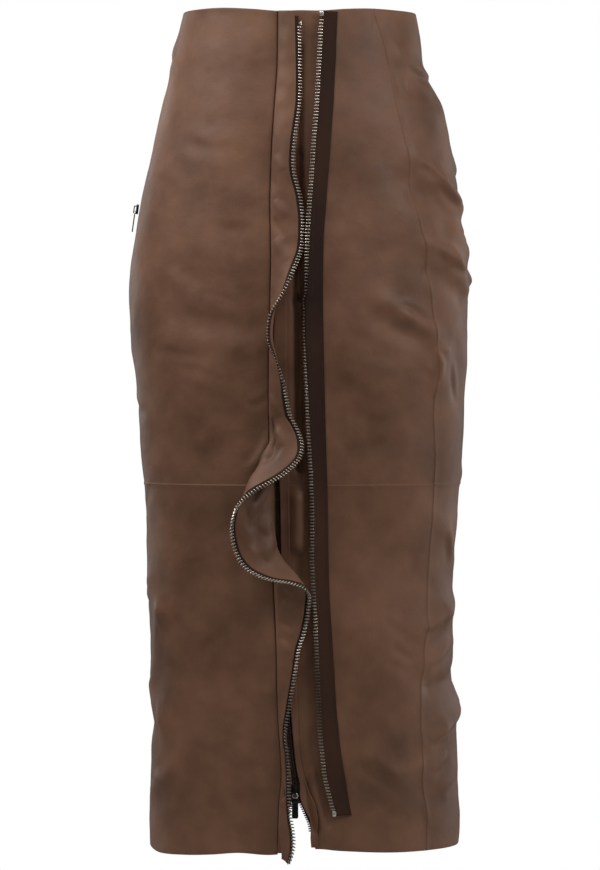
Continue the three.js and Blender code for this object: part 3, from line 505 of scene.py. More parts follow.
def rounded_steps(width_steps, radius):
    """Insets from both edges of a strip, in millimetres, and its share of the space between."""
    turns = np.linspace(0, math.pi / 2, 6)
    insets = radius * (1 - np.cos(turns))
    halves = np.maximum(np.sin(turns), 0.08)
    middle = np.linspace(0, 1, width_steps + 2)[1:-1]
    left = [(inset, 0.0) for inset in insets]
    inside = [(radius * (1 - 2 * share), share) for share in middle]
    right = [(-inset, 1.0) for inset in insets[::-1]]
    half = np.concatenate([halves, np.ones(len(middle)), halves[::-1]])
    return np.array(left + inside + right), half


# ---------- leather panels ----------
# How a panel's edge turns into a seam: inset from the edge, depth below the face, wall.
SEAM_TURN = np.array([
    (0.0, 1.9, 0.5), (0.0, 1.35, 0.5), (0.04, 0.85, 0.5), (0.16, 0.46, 0.55), (0.4, 0.2, 0.7),
    (0.8, 0.06, 0.95), (1.5, 0.0, LEATHER),
])
# How an edge slips under the panel that laps over it.
TUCK_TURN = np.array([
    (0.0, 1.5, 0.4), (0.0, 1.4, 0.4), (0.3, 1.2, 0.4), (0.62, 0.45, 0.5), (0.85, 0.12, 0.6),
    (1.2, 0.0, 0.8), (2.0, 0.0, LEATHER),
])
TUCKED, LAPPED = -0.7, -0.2   # how far a seam's two edges reach past its line


def folded_turn(length):
    """How a hem or waist edge turns up inside: inset, depth, wall."""
    turns = np.linspace(math.pi, 0, 9)
    round_edge = [(TURN_RADIUS * (1 - math.sin(turn)), TURN_RADIUS * (1 - math.cos(turn)), LEATHER)
                  for turn in turns]
    runs = np.linspace(length, TURN_RADIUS + 1.5, round(length / PANEL_STEP / 1.4))
    inside = [(run, 2 * TURN_RADIUS, LEATHER) for run in runs]
    return np.array(inside + round_edge)


def side_half_gap(down):
    opened = between(down, POCKET.top - 14, POCKET.top, POCKET.bottom, POCKET.bottom + 14)
    return mix(-0.05, POCKET.half_gap, opened)


def at_angle(angle):
    return lambda down: np.full_like(down, angle)


def at_seam(x_of):
    return lambda down: angle_at(x_of(down), down)


def even(gap):
    return lambda down: np.full_like(down, gap)


# name, left edge and right edge (place, gap, turn), columns and how they crowd to the left edge,
# cut of the upper piece, cut of the lower
PANELS = [
    ("front_left", (at_angle(-90.0), side_half_gap, SEAM_TURN),
     (at_seam(LEFT_SEAM.x), even(0.1), SEAM_TURN), 66, 1.0, (0.208, 0.532), (0.206, 0.411)),
    ("front_right", (at_seam(CLOSING.panel), even(0.05), SEAM_TURN),
     (at_seam(RIGHT_SEAM.x), even(TUCKED), TUCK_TURN), 72, 1.0, (0.176, 0.532), (0.173, 0.411)),
    ("back_right", (at_seam(RIGHT_SEAM.x), even(LAPPED), SEAM_TURN),
     (at_angle(180.0), even(-0.05), SEAM_TURN), 108, 1.35, (0.355, 0.539), (0.332, 0.397)),
    ("back_left", (at_angle(180.0), even(-0.05), SEAM_TURN),
     (at_angle(270.0), side_half_gap, SEAM_TURN), 80, 1.0, (0.252, 0.536), (0.231, 0.390)),
]


def edge_plan(first, last, steps, crowding=1.0):
    """Rows or columns of a panel: end it is measured from, inset, depth, wall, share between."""
    plan = [(0, inset, depth, wall, 0.0) for inset, depth, wall in first]
    for share in np.linspace(0, 1, steps + 1)[1:-1] ** crowding:
        plan.append((2, 0.0, 0.0, LEATHER, share))
    plan += [(1, inset, depth, wall, 1.0) for inset, depth, wall in last[::-1]]
    return np.array(plan), first[-1][0], last[-1][0]


def measured_from(plan, low, high, scale):
    """Places between two edges; scale turns a millimetre into the places' own unit."""
    columns, first_inset, last_inset = plan
    end, inset, share = columns[:, 0], columns[:, 1], columns[:, 4]
    from_low = low + inset * scale
    from_high = high - inset * scale
    inside = mix(low + first_inset * scale, high - last_inset * scale, share)
    return np.where(end == 0, from_low, np.where(end == 1, from_high, inside))


def panel_grid(panel, bottom, top, row_plan):
    (left, left_gap, left_turn), (right, right_gap, right_turn) = panel[1:3]
    column_plan = edge_plan(left_turn, right_turn, *panel[3:5])
    shape = (len(row_plan[0]), len(column_plan[0]))
    down = np.full(shape, float(KNEE_SEAM))
    angle = np.zeros(shape)
    for _ in range(4):
        mm = degrees_for(1.0, angle, down)
        low, high = left(down) + left_gap(down) * mm, right(down) - right_gap(down) * mm
        angle = measured_from(column_plan, low, high, mm)
        rows = measured_from(row_plan, bottom(angle).T, top(angle).T, -1.0)
        down = rows.T
    depth = row_plan[0][:, 2][:, None] + column_plan[0][:, 2][None, :]
    wall = np.minimum(row_plan[0][:, 3][:, None], column_plan[0][:, 3][None, :])
    return angle, down, depth, wall


def add_panel(panel, part, bottom, top, row_plan):
    angle, down, depth, wall = panel_grid(panel, bottom, top, row_plan)
    outer = surface(angle, down) - outward(angle, down, False) * depth[..., None]
    inner = outer - grid_normals(outer) * wall[..., None]
    name = f"{panel[0]}_{part}"
    piece = shell(f"{name}_leather", outer, inner, [LEATHER_FACE, LEATHER_BACK], [name])


def add_panels():
    upper_rows = edge_plan(TUCK_TURN, folded_turn(WAIST_TURN), round(KNEE_SEAM / PANEL_STEP))
    lower_rows = edge_plan(folded_turn(HEM_TURN), SEAM_TURN, round(LOWER_LENGTH / PANEL_STEP))
    for panel in PANELS:
        add_panel(panel, "upper", even(KNEE_SEAM - TUCKED), WAIST.down, upper_rows)
        add_panel(panel, "lower", HEM.down, even(KNEE_SEAM + LAPPED), lower_rows)


# ---------- strips that follow the front ----------
def front_strip(top, bottom, left, right, out, thickness, steps, step=2.4):
    """Middle surface and half thicknesses of a strip with round edges."""
    plan, half = rounded_steps(steps, thickness / 2)
    down = np.linspace(bottom, top, round((bottom - top) / step))[:, None]
    x = mix(left(down), right(down), plan[:, 1]) + plan[:, 0]
    share = (x - left(down)) / (right(down) - left(down))
    return off_front(x, down, out(share, down)), half * thickness / 2


def tape_out(share, down):
    return np.full(np.broadcast(share, down).shape, TAPE_OUT)


def lip_out(share, down):
    """The lip sinks where the slit gapes below the knee seam."""
    _, down = np.broadcast_arrays(share, down)
    return -LEATHER / 2 - 1.3 * between(down, 458, 480, 550, 570)


def lip_left(down):
    """The lip starts beside the ruffle's seam, and closer to it near the hem."""
    return LEFT_SEAM.x(down) + mix(1.3, 0.2, ease(down, 740, 790))


def lip_right(down):
    """The lip ends beside the closed chain and covers a little more at the slit and the hem."""
    return CLOSING.left(down) - 1.6 + 3 * ease(down, 835, 850) + 0.8 * between(down, 455, 490, 545, 565)


def guard_out(share, down):
    """The guard's free left edge lifts and waves a little where it gapes over the slit."""
    gape = between(down, 440, 500, 560, 620) + 0.7 * ease(down, 690, 780)
    lower = 1.5 * share**3 * ease(down, 785, 815)
    return 1.1 + lower + (1 - share) ** 2 * (0.2 * np.sin(down / 23) + 0.6 * gape)


def add_closing_leather():
    lip = front_strip(0.2, 870, lip_left, lip_right, lip_out, LEATHER, 2)
    piece = slab("closing_lip_leather", *lip, LEATHER_FACE, "leather", ["closing_lip_left"])
    guard = front_strip(1.0, 864, GUARD.left, GUARD.right, guard_out, GUARD_WALL, 7)
    piece = slab("closing_guard_leather", *guard, LEATHER_FACE, "leather", ["closing_guard"])


def sunk_tape_out(share, down):
    """The left tape falls back into the skirt where the slit gapes."""
    return TAPE_OUT - 5.0 * (1 - share) ** 0.7 * between(down, 462, 484, 544, 566)


def add_closing_tapes():
    for side, reach, end_down, out in (("left", (-13.5, -1.0), 862, sunk_tape_out),
                                       ("right", (1.0, 11.5), 860, tape_out)):
        edge = getattr(CLOSING, side)
        strip = front_strip(4, end_down, lambda d: edge(d) + reach[0], lambda d: edge(d) + reach[1],
                            out, TAPE, 5, step=3)
        name = f"closing_tape_{side}"
        piece = slab(f"{name}_woven", *strip, TAPE_WEAVE, "zip_tape", [name])


# ---------- ruffle ----------
# From the middle of the ruffle's teeth back to its leather edge.
BAND_EDGE = table("back", [
    (0, 4.6), (430, 4.5), (470, 4.1), (590, 4.2), (640, 4.2), (700, 3.4), (870, 3.2),
])
HEM_DRIFT = 4.5                       # how far the band's root leaves the seam at the hem
SEWN_OUT = (-1.9, -1.2, -0.5, 0.15)   # how the root rises out of its seam
BAND_ROWS, TAPE_ROWS = 540, 480
INSIDE_COLUMNS, NOSE_COLUMNS, THIN_COLUMNS = 30, 6, 6
# Section of the ruffle's tape: how far back from the teeth, half its wall.
RUFFLE_TAPE = np.array([
    (6.6, 0.3), (6.0, 0.36), (5.2, 0.38), (4.4, 0.38), (3.6, 0.38), (2.8, 0.38), (2.2, 0.4), (1.7, 0.42),
    (1.2, 0.4), (0.8, 0.3),
])


def cross_lines(down):
    """Points across the band at each root height, from inside its seam out to the teeth."""
    down = np.asarray(down, float)
    front = -BODY.front(down)
    seam = LEFT_SEAM.x(down) + HEM_DRIFT * ease(down, 838, 878)
    sewn = [off_front(seam + 1.3, down, out) for out in SEWN_OUT]
    root = off_front(seam + 1.5, down, 1.5)
    bow_down = mix(down, RUFFLE.edge_down(down), 0.4)
    bow = np.stack([seam + 1.4 + RUFFLE.bow_x(down), front - RUFFLE.bow_out(down), -bow_down], -1)
    edge = np.stack([RUFFLE.edge_x(down), front - RUFFLE.edge_out(down), -RUFFLE.edge_down(down)], -1)
    t = np.linspace(0.06, 1, 48)[None, :, None]
    curve = (1 - t) ** 2 * root[:, None] + 2 * t * (1 - t) * bow[:, None] + t**2 * edge[:, None]
    return np.concatenate([np.stack(sewn, 1), curve], 1)


def band_points(down, back):
    """Points on the band, each row at a root height, measured back from the teeth."""
    lines = cross_lines(down)
    runs = runs_of(lines, 1)
    place = runs[:, -1:] - back
    points = np.empty(place.shape + (3,))
    for row in range(len(lines)):
        for axis in range(3):
            points[row, :, axis] = np.interp(place[row], runs[row], lines[row, :, axis])
    beyond = np.maximum(-back, 0)[..., None] * unit(lines[:, -1:] - lines[:, -4:-3])
    return points + beyond, runs[:, -1]


def band_creases(middle, down, reach):
    """Draws the band's own creases and faint waves on its middle surface."""
    lift = np.zeros(reach.shape)
    for top, root, bottom, tip, width, height in BAND_CREASES:
        t, aside, _ = along_run(down - top, reach - root, (bottom - top, tip - root))
        lift += BAND_RELIEF * height * hump(aside, width) * np.clip(4 * t * (1 - t), 0, 1) ** 0.8
    rng = np.random.default_rng(5)
    for _ in range(26):
        heading, phase = rng.normal(size=2) * (0.16, 0.20), rng.uniform(0, 2 * math.pi)
        lift += 0.07 * np.sin(down * heading[0] + reach * heading[1] + phase)
    return middle + grid_normals(middle) * (lift * ease(reach, 2, 7))[..., None]


def add_ruffle_band():
    """The leather from inside its seam to the rounded edge that carries the zip tape."""
    down = np.linspace(RUFFLE_END, RUFFLE_TOP, BAND_ROWS)
    length = band_points(down, np.zeros((BAND_ROWS, 1)))[1][:, None]
    turns = np.linspace(0, math.pi / 2, NOSE_COLUMNS + 1)[1:]
    leather_end = length - BAND_EDGE.back(down)[:, None]
    inside = mix(0.0, leather_end - BAND / 2, np.linspace(0, 1, INSIDE_COLUMNS))
    nose = leather_end - BAND / 2 * (1 - np.sin(turns))
    reach = np.concatenate([inside, nose], 1)
    half = np.concatenate([np.full(INSIDE_COLUMNS, BAND / 2), np.maximum(BAND / 2 * np.cos(turns), 0.12)])
    half[:THIN_COLUMNS] = np.linspace(0.5, 1, THIN_COLUMNS) * BAND / 2
    middle, _ = band_points(down, length - reach)
    middle = band_creases(middle, down[:, None], reach)
    piece = slab("ruffle_leather", middle, half, LEATHER_FACE, "leather", ["ruffle_band"])


def add_ruffle_tape():
    down = np.linspace(RUFFLE_END - 0.5, RUFFLE_STOP - 4.5, TAPE_ROWS)
    back, half = RUFFLE_TAPE.T
    middle, _ = band_points(down, np.broadcast_to(back, (TAPE_ROWS, len(back))))
    piece = slab("ruffle_tape_woven", middle, half, TAPE_WEAVE, "zip_tape", ["ruffle_tape"])


# ---------- ornamental zip half on the right front ----------
def trim_out(share, down):
    return SEAM_GAP + TAPE / 2 + TRIM_RISE * (1 - share) ** 1.7


def trim_left(down):
    return TRIM.teeth(down) + 1.0


def add_trim_tape():
    strip = front_strip(TRIM_TOP, TRIM_END, trim_left, TRIM.edge, trim_out, TAPE, 13, step=2)
    piece = slab("trim_tape_woven", *strip, TRIM_WEAVE, "zip_tape", ["trim_tape"])


# ---------- modelling by hand ----------
def begin(add_primitive, **settings):
    """Adds a primitive by itself, selected all over, and opens it for editing."""
    bpy.ops.object.select_all(action="DESELECT")
    add_primitive(**settings)
    bpy.ops.object.transform_apply(location=True, rotation=True, scale=True)
    bpy.ops.object.mode_set(mode="EDIT")
    return bpy.context.object


def begin_block(size, centre=(0, 0, 0)):
    return begin(bpy.ops.mesh.primitive_cube_add, size=1, location=centre, scale=size)


def cut_across(axis, *places):
    """Cuts the piece at each place along its axis 0, 1 or 2."""
    facing = np.eye(3)[axis]
    for place in places:
        bpy.ops.mesh.select_all(action="SELECT")
        bpy.ops.mesh.bisect(plane_co=tuple(facing * place), plane_no=tuple(facing))


def choose(piece, test):
    """Selects the points that lie where the test says."""
    bpy.ops.mesh.select_mode(type="VERT")
    bpy.ops.mesh.select_all(action="DESELECT")
    edited = bmesh.from_edit_mesh(piece.data)
    for point in edited.verts:
        point.select = bool(test(point.co))
    edited.select_flush(True)
    bmesh.update_edit_mesh(piece.data)


def choose_faces(piece, test):
    bpy.ops.mesh.select_mode(type="FACE")
    bpy.ops.mesh.select_all(action="DESELECT")
    edited = bmesh.from_edit_mesh(piece.data)
    for face in edited.faces:
        face.select = bool(test(face.calc_center_median(), face.normal))
    bmesh.update_edit_mesh(piece.data)


def stretch(piece, test, factors, centre=(0, 0, 0)):
    choose(piece, test)
    bpy.ops.transform.resize(value=factors, center_override=centre)


def move(piece, test, offset):
    choose(piece, test)
    bpy.ops.transform.translate(value=offset)


def extrude(offset):
    bpy.ops.mesh.extrude_region_move(TRANSFORM_OT_translate={"value": offset})


def end(piece, bevel=0.0, segments=2, angle=40):
    """Closes the edit and rounds the edges."""
    bpy.ops.object.mode_set(mode="OBJECT")
    if bevel:
        rounding = piece.modifiers.new("rounding", "BEVEL")
        rounding.width, rounding.segments = bevel, segments
        rounding.limit_method, rounding.angle_limit = "ANGLE", math.radians(angle)
        bpy.ops.object.modifier_apply(modifier=rounding.name)
    bpy.ops.object.shade_smooth_by_angle(angle=math.radians(50))
    return piece


def join_pieces(pieces):
    bpy.ops.object.select_all(action="DESELECT")
    for piece in pieces:
        piece.select_set(True)
    bpy.context.view_layer.objects.active = pieces[0]
    bpy.ops.object.join()
    return pieces[0]


def put_away(piece):
    """Takes a finished model's mesh and clears the model itself."""
    mesh = piece.data
    bpy.data.objects.remove(piece)
    return mesh


def copies_of(name, model, frames, finish, body="root", replaces=()):
    """One mesh of copies of a model, each set on its own frame (right, up, outward, origin, in mm)."""
    model_points = np.array([point.co for point in model.vertices])
    polygons = [tuple(face.vertices) for face in model.polygons]
    placed = np.einsum("vk,nkj->nvj", model_points, frames[:, :3]) + frames[:, 3][:, None]
    count = len(model_points)
    mesh = bpy.data.meshes.new(name)
    faces = [tuple(i + count * n for i in face) for n in range(len(frames)) for face in polygons]
    mesh.from_pydata((placed.reshape(-1, 3) * MM).tolist(), [], faces)
    mesh.shade_smooth()
    mesh.set_sharp_from_angle(angle=math.radians(50))
    mesh.materials.append(finish)
    return place_piece(bpy.data.objects.new(name, mesh), body, replaces)


def single_frame(right, up, facing, origin, scale=1.0):
    return np.array([np.array(right) * scale, np.array(up) * scale, np.array(facing) * scale, origin])[None]


# ---------- teeth ----------
TOOTH_FOOT = (0, 0, -1.0)


def model_tooth():
    """A cast tooth: +X to its free end, +Y along the row, +Z outwards."""
    tooth = begin_block((HEAVY_TEETH, 1.5, 2.8), (0, 0, 0.2))
    cut_across(0, -1.3, 0.6, 1.2)
    cut_across(1, 0)
    move(tooth, lambda co: co.z > 1 and abs(co.y) < 0.1, (0, 0, 0.32))
    stretch(tooth, lambda co: co.x > 1.0, (1, 0.78, 0.6), TOOTH_FOOT)
    stretch(tooth, lambda co: co.x > 2, (1, 0.8, 0.8), TOOTH_FOOT)
    stretch(tooth, lambda co: co.x < -2, (1, 0.9, 0.7), TOOTH_FOOT)
    return put_away(end(tooth, bevel=0.22, segments=1, angle=30))


def model_fine_tooth():
    """A tooth of the closing zip, with its hooked end."""
    tooth = begin_block((3.1, 1.5, 1.5))
    cut_across(0, 0.3)
    stretch(tooth, lambda co: co.x > 1.2, (1, 0.7, 0.8))
    return put_away(end(tooth, bevel=0.2, segments=1, angle=30))


def row_frames(points, across, pitch):
    """Frames for a row of teeth or stitches, at even steps along a line of points."""
    runs = runs_of(points, 0)
    places = np.arange(pitch / 2, runs[-1], pitch)

    def at_places(values):
        return np.stack([np.interp(places, runs, values[:, k]) for k in range(3)], -1)

    centre, right = at_places(points), unit(at_places(across))
    up = unit(at_places(np.gradient(points, axis=0)))
    facing = unit(np.cross(right, up))
    return np.stack([right, np.cross(facing, right), facing, centre], 1)


def add_ruffle_teeth(tooth):
    down = np.linspace(RUFFLE_END - 2.5, RUFFLE_STOP + 7, 1400)
    ends, _ = band_points(down, np.broadcast_to([0.6, 0.0, -0.6], (len(down), 3)))
    frames = row_frames(ends[:, 1], ends[:, 2] - ends[:, 0], HEAVY_PITCH)
    copies_of("ruffle_teeth", tooth, frames, RUFFLE_METAL, replaces=["ruffle_chain"])


def add_trim_teeth(tooth):
    down = np.linspace(TRIM_END - 5, TRIM_TOP + 7.3, 900)
    out = np.full_like(down, TRIM_TEETH_OUT)
    x = TRIM.teeth(down)
    away = off_front(x - 2, down, out) - off_front(x + 2, down, out)
    frames = row_frames(off_front(x, down, out), away, HEAVY_PITCH)
    copies_of("trim_teeth", tooth, frames, TRIM_METAL, replaces=["trim_chain"])


def add_fine_row(name, tooth, side, top, bottom, pointing, shift, replaces):
    down = np.linspace(bottom, top, max(int((bottom - top) * 1.2), 20))
    x = getattr(CLOSING, side)(down)
    points = off_front(x, down + shift, np.full_like(down, TAPE_OUT))
    level = np.zeros_like(down)
    away = (off_front(x + 2, down, level) - off_front(x - 2, down, level)) * pointing
    frames = row_frames(points, away, FINE_PITCH)
    copies_of(name, tooth, frames, AGED_METAL, replaces=replaces)


def add_closing_teeth(tooth):
    """The closed chain's two rows, half a pitch apart, and the two open rows under the slider."""
    for side, pointing, shift in (("left", 1, 0.0), ("right", -1, FINE_PITCH / 2)):
        add_fine_row(f"closing_row_{side}", tooth, side, CLOSING_TOP, SLIDER_TOP, pointing, shift,
                     ["closing_chain"])
    for side, pointing, end_down in (("left", 1, OPEN_LEFT_END), ("right", -1, OPEN_RIGHT_END)):
        add_fine_row(f"closing_open_{side}", tooth, side, SLIDER_TOP + SLIDER_LENGTH, end_down, pointing,
                     0.0, [f"closing_teeth_{side}"])


# ---------- pocket zip on the left side ----------
POCKET_TEETH = 0.9   # their size beside the closing zip's


def pocket_points(offset, down, out):
    """Points beside the pocket's slit: offset millimetres towards the front."""
    down, offset = np.broadcast_arrays(np.asarray(down, float), np.asarray(offset, float))
    side = np.full_like(down, float(POCKET.angle))
    facing = outward(side, down, False)
    ahead = np.stack([-facing[..., 1], facing[..., 0], np.zeros_like(down)], -1)
    return surface(side, down, False) + facing * out + ahead * offset[..., None]


def add_pocket_zip(tooth):
    plan, half = rounded_steps(7, TAPE / 2)
    down = np.linspace(POCKET.bottom + 4, POCKET.top - 4, 70)[:, None]
    middle = pocket_points(mix(-8, 8, plan[:, 1]) + plan[:, 0], down, -2.85)
    piece = slab("pocket_tape_woven", middle, half * TAPE / 2, TAPE_WEAVE, "zip_tape", ["pocket_tape"])
    for side, pointing, shift in (("rear", 1, 0.0), ("fore", -1, FINE_PITCH / 2)):
        down = np.linspace(POCKET.bottom - 6, POCKET.top + 2, 160) + shift
        away = pointing * (pocket_points(1.0, down, 0.0) - pocket_points(-1.0, down, 0.0))
        frames = row_frames(pocket_points(0.0, down, -1.45), away, FINE_PITCH)
        frames[:, :3] *= POCKET_TEETH
        copies_of(f"pocket_row_{side}", tooth, frames, DARK_METAL, replaces=["pocket_chain"])


# ---------- stops, sliders and pulls ----------
TRIM_STOPS = (("top", 4.2), ("bottom", 829.0))


def model_stop():
    stop = begin_block((4.2, 5.2, 3.0))
    cut_across(1, 0)
    stretch(stop, lambda co: abs(co.y) > 2, (0.86, 1, 0.9))
    return put_away(end(stop, bevel=0.7, segments=3))


def model_wire_stop():
    """A bright wire bent over the end of a row of teeth."""
    wire = begin(bpy.ops.mesh.primitive_circle_add, radius=0.55, vertices=10, fill_type="NGON",
                 location=(1.8, 0, 0), rotation=(math.pi / 2, 0, 0))
    bpy.ops.mesh.select_all(action="SELECT")
    bpy.ops.mesh.spin(steps=12, angle=math.pi, center=(0, 0, 0), axis=(0, 0, 1))
    choose_faces(wire, lambda at, normal: abs(at.y) < 0.05 and abs(normal.y) > 0.9)
    extrude((0, -3.4, 0))
    bpy.ops.mesh.select_all(action="SELECT")
    bpy.ops.mesh.normals_make_consistent(inside=False)
    return put_away(end(wire))


def model_plate(low, thickness):
    plate = begin_block((7.8, 12.6, thickness), (0, 3.1, low + thickness / 2))
    cut_across(1, 1.2, 4.6, 7.4)
    cut_across(0, 0)
    for y, share in ((-3.2, 0.64), (1.2, 0.84), (9.4, 0.92)):
        stretch(plate, lambda co: abs(co.y - y) < 0.1, (share, 1, 1))
    move(plate, lambda co: abs(co.x) < 0.1 and co.y > 9, (0, -0.9, 0))
    return end(plate, bevel=0.42, segments=3)


def model_flange(side):
    flange = begin_block((0.9, 8.4, 1.4), (side * 2.75, 1.2, -2.4))
    move(flange, lambda co: co.y > 4, (side * 0.65, 0, 0))
    move(flange, lambda co: co.y < 0, (-side * 0.45, 0, 0))
    return end(flange, bevel=0.25, segments=2)


def model_bridge():
    """The arched bar that the pull's ring hangs in."""
    bridge = begin_block((2.4, 9.8, 1.3), (0, 2.3, 1.6))
    cut_across(1, -1.3, 5.9)
    choose_faces(bridge, lambda at, normal: normal.z < -0.9 and not -1.3 < at.y < 5.9)
    extrude((0, 0, -2.1))
    move(bridge, lambda co: co.z > 2 and not -1.5 < co.y < 6.1, (0, 0, -0.55))
    stretch(bridge, lambda co: co.z < -1, (1.25, 1.04, 1), (0, 2.3, 0))
    return end(bridge, bevel=0.38, segments=3)


def model_slider():
    """Two plates, their flanges and post, and the bridge: +Z outwards, +Y to the closed end."""
    post = end(begin_block((2.0, 2.6, 1.2), (0, 6.8, -2.55)), bevel=0.2)
    parts = [model_plate(-2.15, 1.2), model_plate(-3.95, 1.0), model_flange(-1), model_flange(1)]
    return put_away(join_pieces(parts + [post, model_bridge()]))


def model_ring():
    """The wire loop between slider and tab, hung on its top bar."""
    ring = begin(bpy.ops.mesh.primitive_torus_add, major_radius=2.45, minor_radius=0.66,
                 major_segments=28, minor_segments=10, location=(0, -2.25, 0))
    stretch(ring, lambda co: abs(co.x) > 1.2, (1.08, 1, 1), (0, -2.25, 0))
    return put_away(end(ring))


def model_tab():
    """The long tab with a sunk panel and an eye for the ring."""
    tab = begin_block((6.6, 21.0, 1.3), (0, -15.1, 0))
    cut_across(1, -5.8, -7.6, -23.9)
    stretch(tab, lambda co: co.y > -5, (0.62, 1, 1))
    stretch(tab, lambda co: -6.5 < co.y < -5, (0.86, 1, 1))
    stretch(tab, lambda co: co.y < -25, (0.8, 1, 1))
    choose_faces(tab, lambda at, normal: abs(normal.z) > 0.9 and -23.9 < at.y < -7.6)
    bpy.ops.mesh.inset(thickness=0.9, use_individual=True)
    bpy.ops.mesh.inset(thickness=0.25, depth=-0.28, use_individual=True)
    return put_away(end(tab, bevel=0.28, segments=3))


def joint_place(name):
    joint = next(j for j in frame["joints"] if j["name"] == name)
    return np.array(joint["pos_m"]) / MM


def add_slider(kind, origin, up, facing, scale, models):
    slider, ring, tab = models
    up, facing = unit(np.array(up, float)), unit(np.array(facing, float))
    place = single_frame(np.cross(up, facing), up, facing, origin, scale)
    copies_of(f"{kind}_slider_body", slider, place, DARK_METAL, replaces=[f"{kind}_slider"])
    body = f"{kind}_pull_tab"
    copies_of(f"{kind}_pull_ring", ring, place, BRIGHT_METAL, body, [f"{kind}_pull"])
    copies_of(f"{kind}_pull_leaf", tab, place, DARK_METAL, body, [f"{kind}_pull"])


def add_small_metal():
    models = model_slider(), model_ring(), model_tab()
    add_slider("closing", joint_place("closing_pull_swing"), (0, 0, 1), (0, -1, 0), 1.0, models)
    add_slider("pocket", joint_place("pocket_pull_swing"), (0.14, 0, 1), (-1, 0, 0.14), 0.85, models)
    stop = model_stop()
    for name, down in TRIM_STOPS:
        seat = off_front(TRIM.teeth(down), np.array(down), TRIM_TEETH_OUT)
        place = single_frame((1, 0, 0), (0, 0, 1), (0, -1, 0), seat)
        copies_of(f"trim_stop_{name}_cast", stop, place, BRIGHT_METAL,
                  replaces=[f"trim_stop_{name}"])
    ends, _ = band_points([RUFFLE_STOP + 2, RUFFLE_STOP + 6], np.zeros((2, 1)))
    tip, lower = ends[:, 0]
    up = unit(tip - lower)
    facing = unit(np.cross((1, 0, 0), up))
    place = single_frame(np.cross(up, facing), up, facing, tip + up * 0.6)
    copies_of("ruffle_wire_stop", model_wire_stop(), place, BRIGHT_METAL)


# ---------- stitches ----------
def model_stitch():
    """One stitch lying along +Y, its ends sunk under the cloth."""
    stitch = begin(bpy.ops.mesh.primitive_cylinder_add, radius=0.19, depth=2.3, vertices=6,
                   rotation=(math.pi / 2, 0, 0))
    cut_across(1, 0.75, -0.75)
    move(stitch, lambda co: abs(co.y) > 1, (0, 0, -0.22))
    return put_away(end(stitch))


def add_trim_stitches():
    """Two lines of stitches, beside the tape's free edge and beside its teeth."""
    stitch = model_stitch()
    down = np.linspace(TRIM_END - 3, TRIM_TOP + 3, 700)
    for name, x in (("edge", TRIM.edge(down) - 2.1), ("inner", TRIM.teeth(down) + 5.2)):
        share = (x - trim_left(down)) / (TRIM.edge(down) - trim_left(down))
        out = trim_out(share, down)
        away = off_front(x + 1, down, out) - off_front(x - 1, down, out)
        frames = row_frames(off_front(x, down, out + TAPE / 2 + 0.12), away, STITCH_PITCH)
        copies_of(f"trim_stitches_{name}", stitch, frames, THREAD)


# ---------- finishes ----------
def new_group(name, inputs, outputs):
    tree = bpy.data.node_groups.new(name, "ShaderNodeTree")
    for label, kind, value in inputs:
        tree.interface.new_socket(label, in_out="INPUT", socket_type=kind).default_value = value
    for label, kind in outputs:
        tree.interface.new_socket(label, in_out="OUTPUT", socket_type=kind)
    return tree, tree.nodes.new("NodeGroupInput"), tree.nodes.new("NodeGroupOutput")


def give(tree, target, **links):
    """Links or sets a node's inputs: _2 is its third input, From_Min its input From Min."""
    for label, value in links.items():
        key = int(label[1:]) if label[0] == "_" else label.replace("_", " ")
        if isinstance(value, bpy.types.NodeSocket):
            tree.links.new(value, target.inputs[key])
        else:
            target.inputs[key].default_value = value


def node(tree, kind, settings=(), **links):
    """A new node with its settings and its inputs."""
    made = tree.nodes.new(kind)
    for key, value in dict(settings).items():
        setattr(made, key, value)
    give(tree, made, **links)
    return made


def noise(tree, where, scale, detail=2.0, roughness=0.5):
    made = node(tree, "ShaderNodeTexNoise", Vector=where, Scale=scale, Detail=detail, Roughness=roughness)
    return made.outputs["Fac"]


def blend(tree, factor, first, second):
    made = node(tree, "ShaderNodeMix", {"data_type": "RGBA"}, _0=factor, _6=first, _7=second)
    return made.outputs[2]


def spread(tree, value, low, high, new_low, new_high):
    made = node(tree, "ShaderNodeMapRange", Value=value, From_Min=low, From_Max=high, To_Min=new_low,
                To_Max=new_high)
    return made.outputs["Result"]


def calculate(tree, operation, first, second=0.0):
    return node(tree, "ShaderNodeMath", {"operation": operation}, _0=first, _1=second).outputs[0]


def object_place(tree):
    return node(tree, "ShaderNodeTexCoord").outputs["Object"]


def add_up(tree, *values):
    total = values[0]
    for value in values[1:]:
        total = calculate(tree, "ADD", total, value)
    return total


def times(tree, value, factor):
    return calculate(tree, "MULTIPLY", value, factor)


COLOUR, NUMBER = "NodeSocketColor", "NodeSocketFloat"


def make_hide_colour():
    """Clouds of lighter and darker brown, and the roughness that goes with them."""
    tree, given, result = new_group(
        "hide_colour",
        [("Light", COLOUR, (0.3, 0.2, 0.15, 1)), ("Dark", COLOUR, (0.2, 0.12, 0.09, 1)),
         ("Gloss", NUMBER, 0.5)],
        [("Color", COLOUR), ("Roughness", NUMBER)])
    where = object_place(tree)
    wide, close, fine = noise(tree, where, 14), noise(tree, where, 48), noise(tree, where, 420, 2.0, 0.6)
    clouds = add_up(tree, times(tree, wide, 0.66), times(tree, close, 0.26), times(tree, fine, 0.08))
    share = spread(tree, clouds, 0.29, 0.71, 0.0, 1.0)
    worn = spread(tree, close, 0.3, 0.7, -0.05, 0.05)
    give(tree, result, Color=blend(tree, share, given.outputs["Dark"], given.outputs["Light"]),
         Roughness=add_up(tree, given.outputs["Gloss"], worn))
    return tree


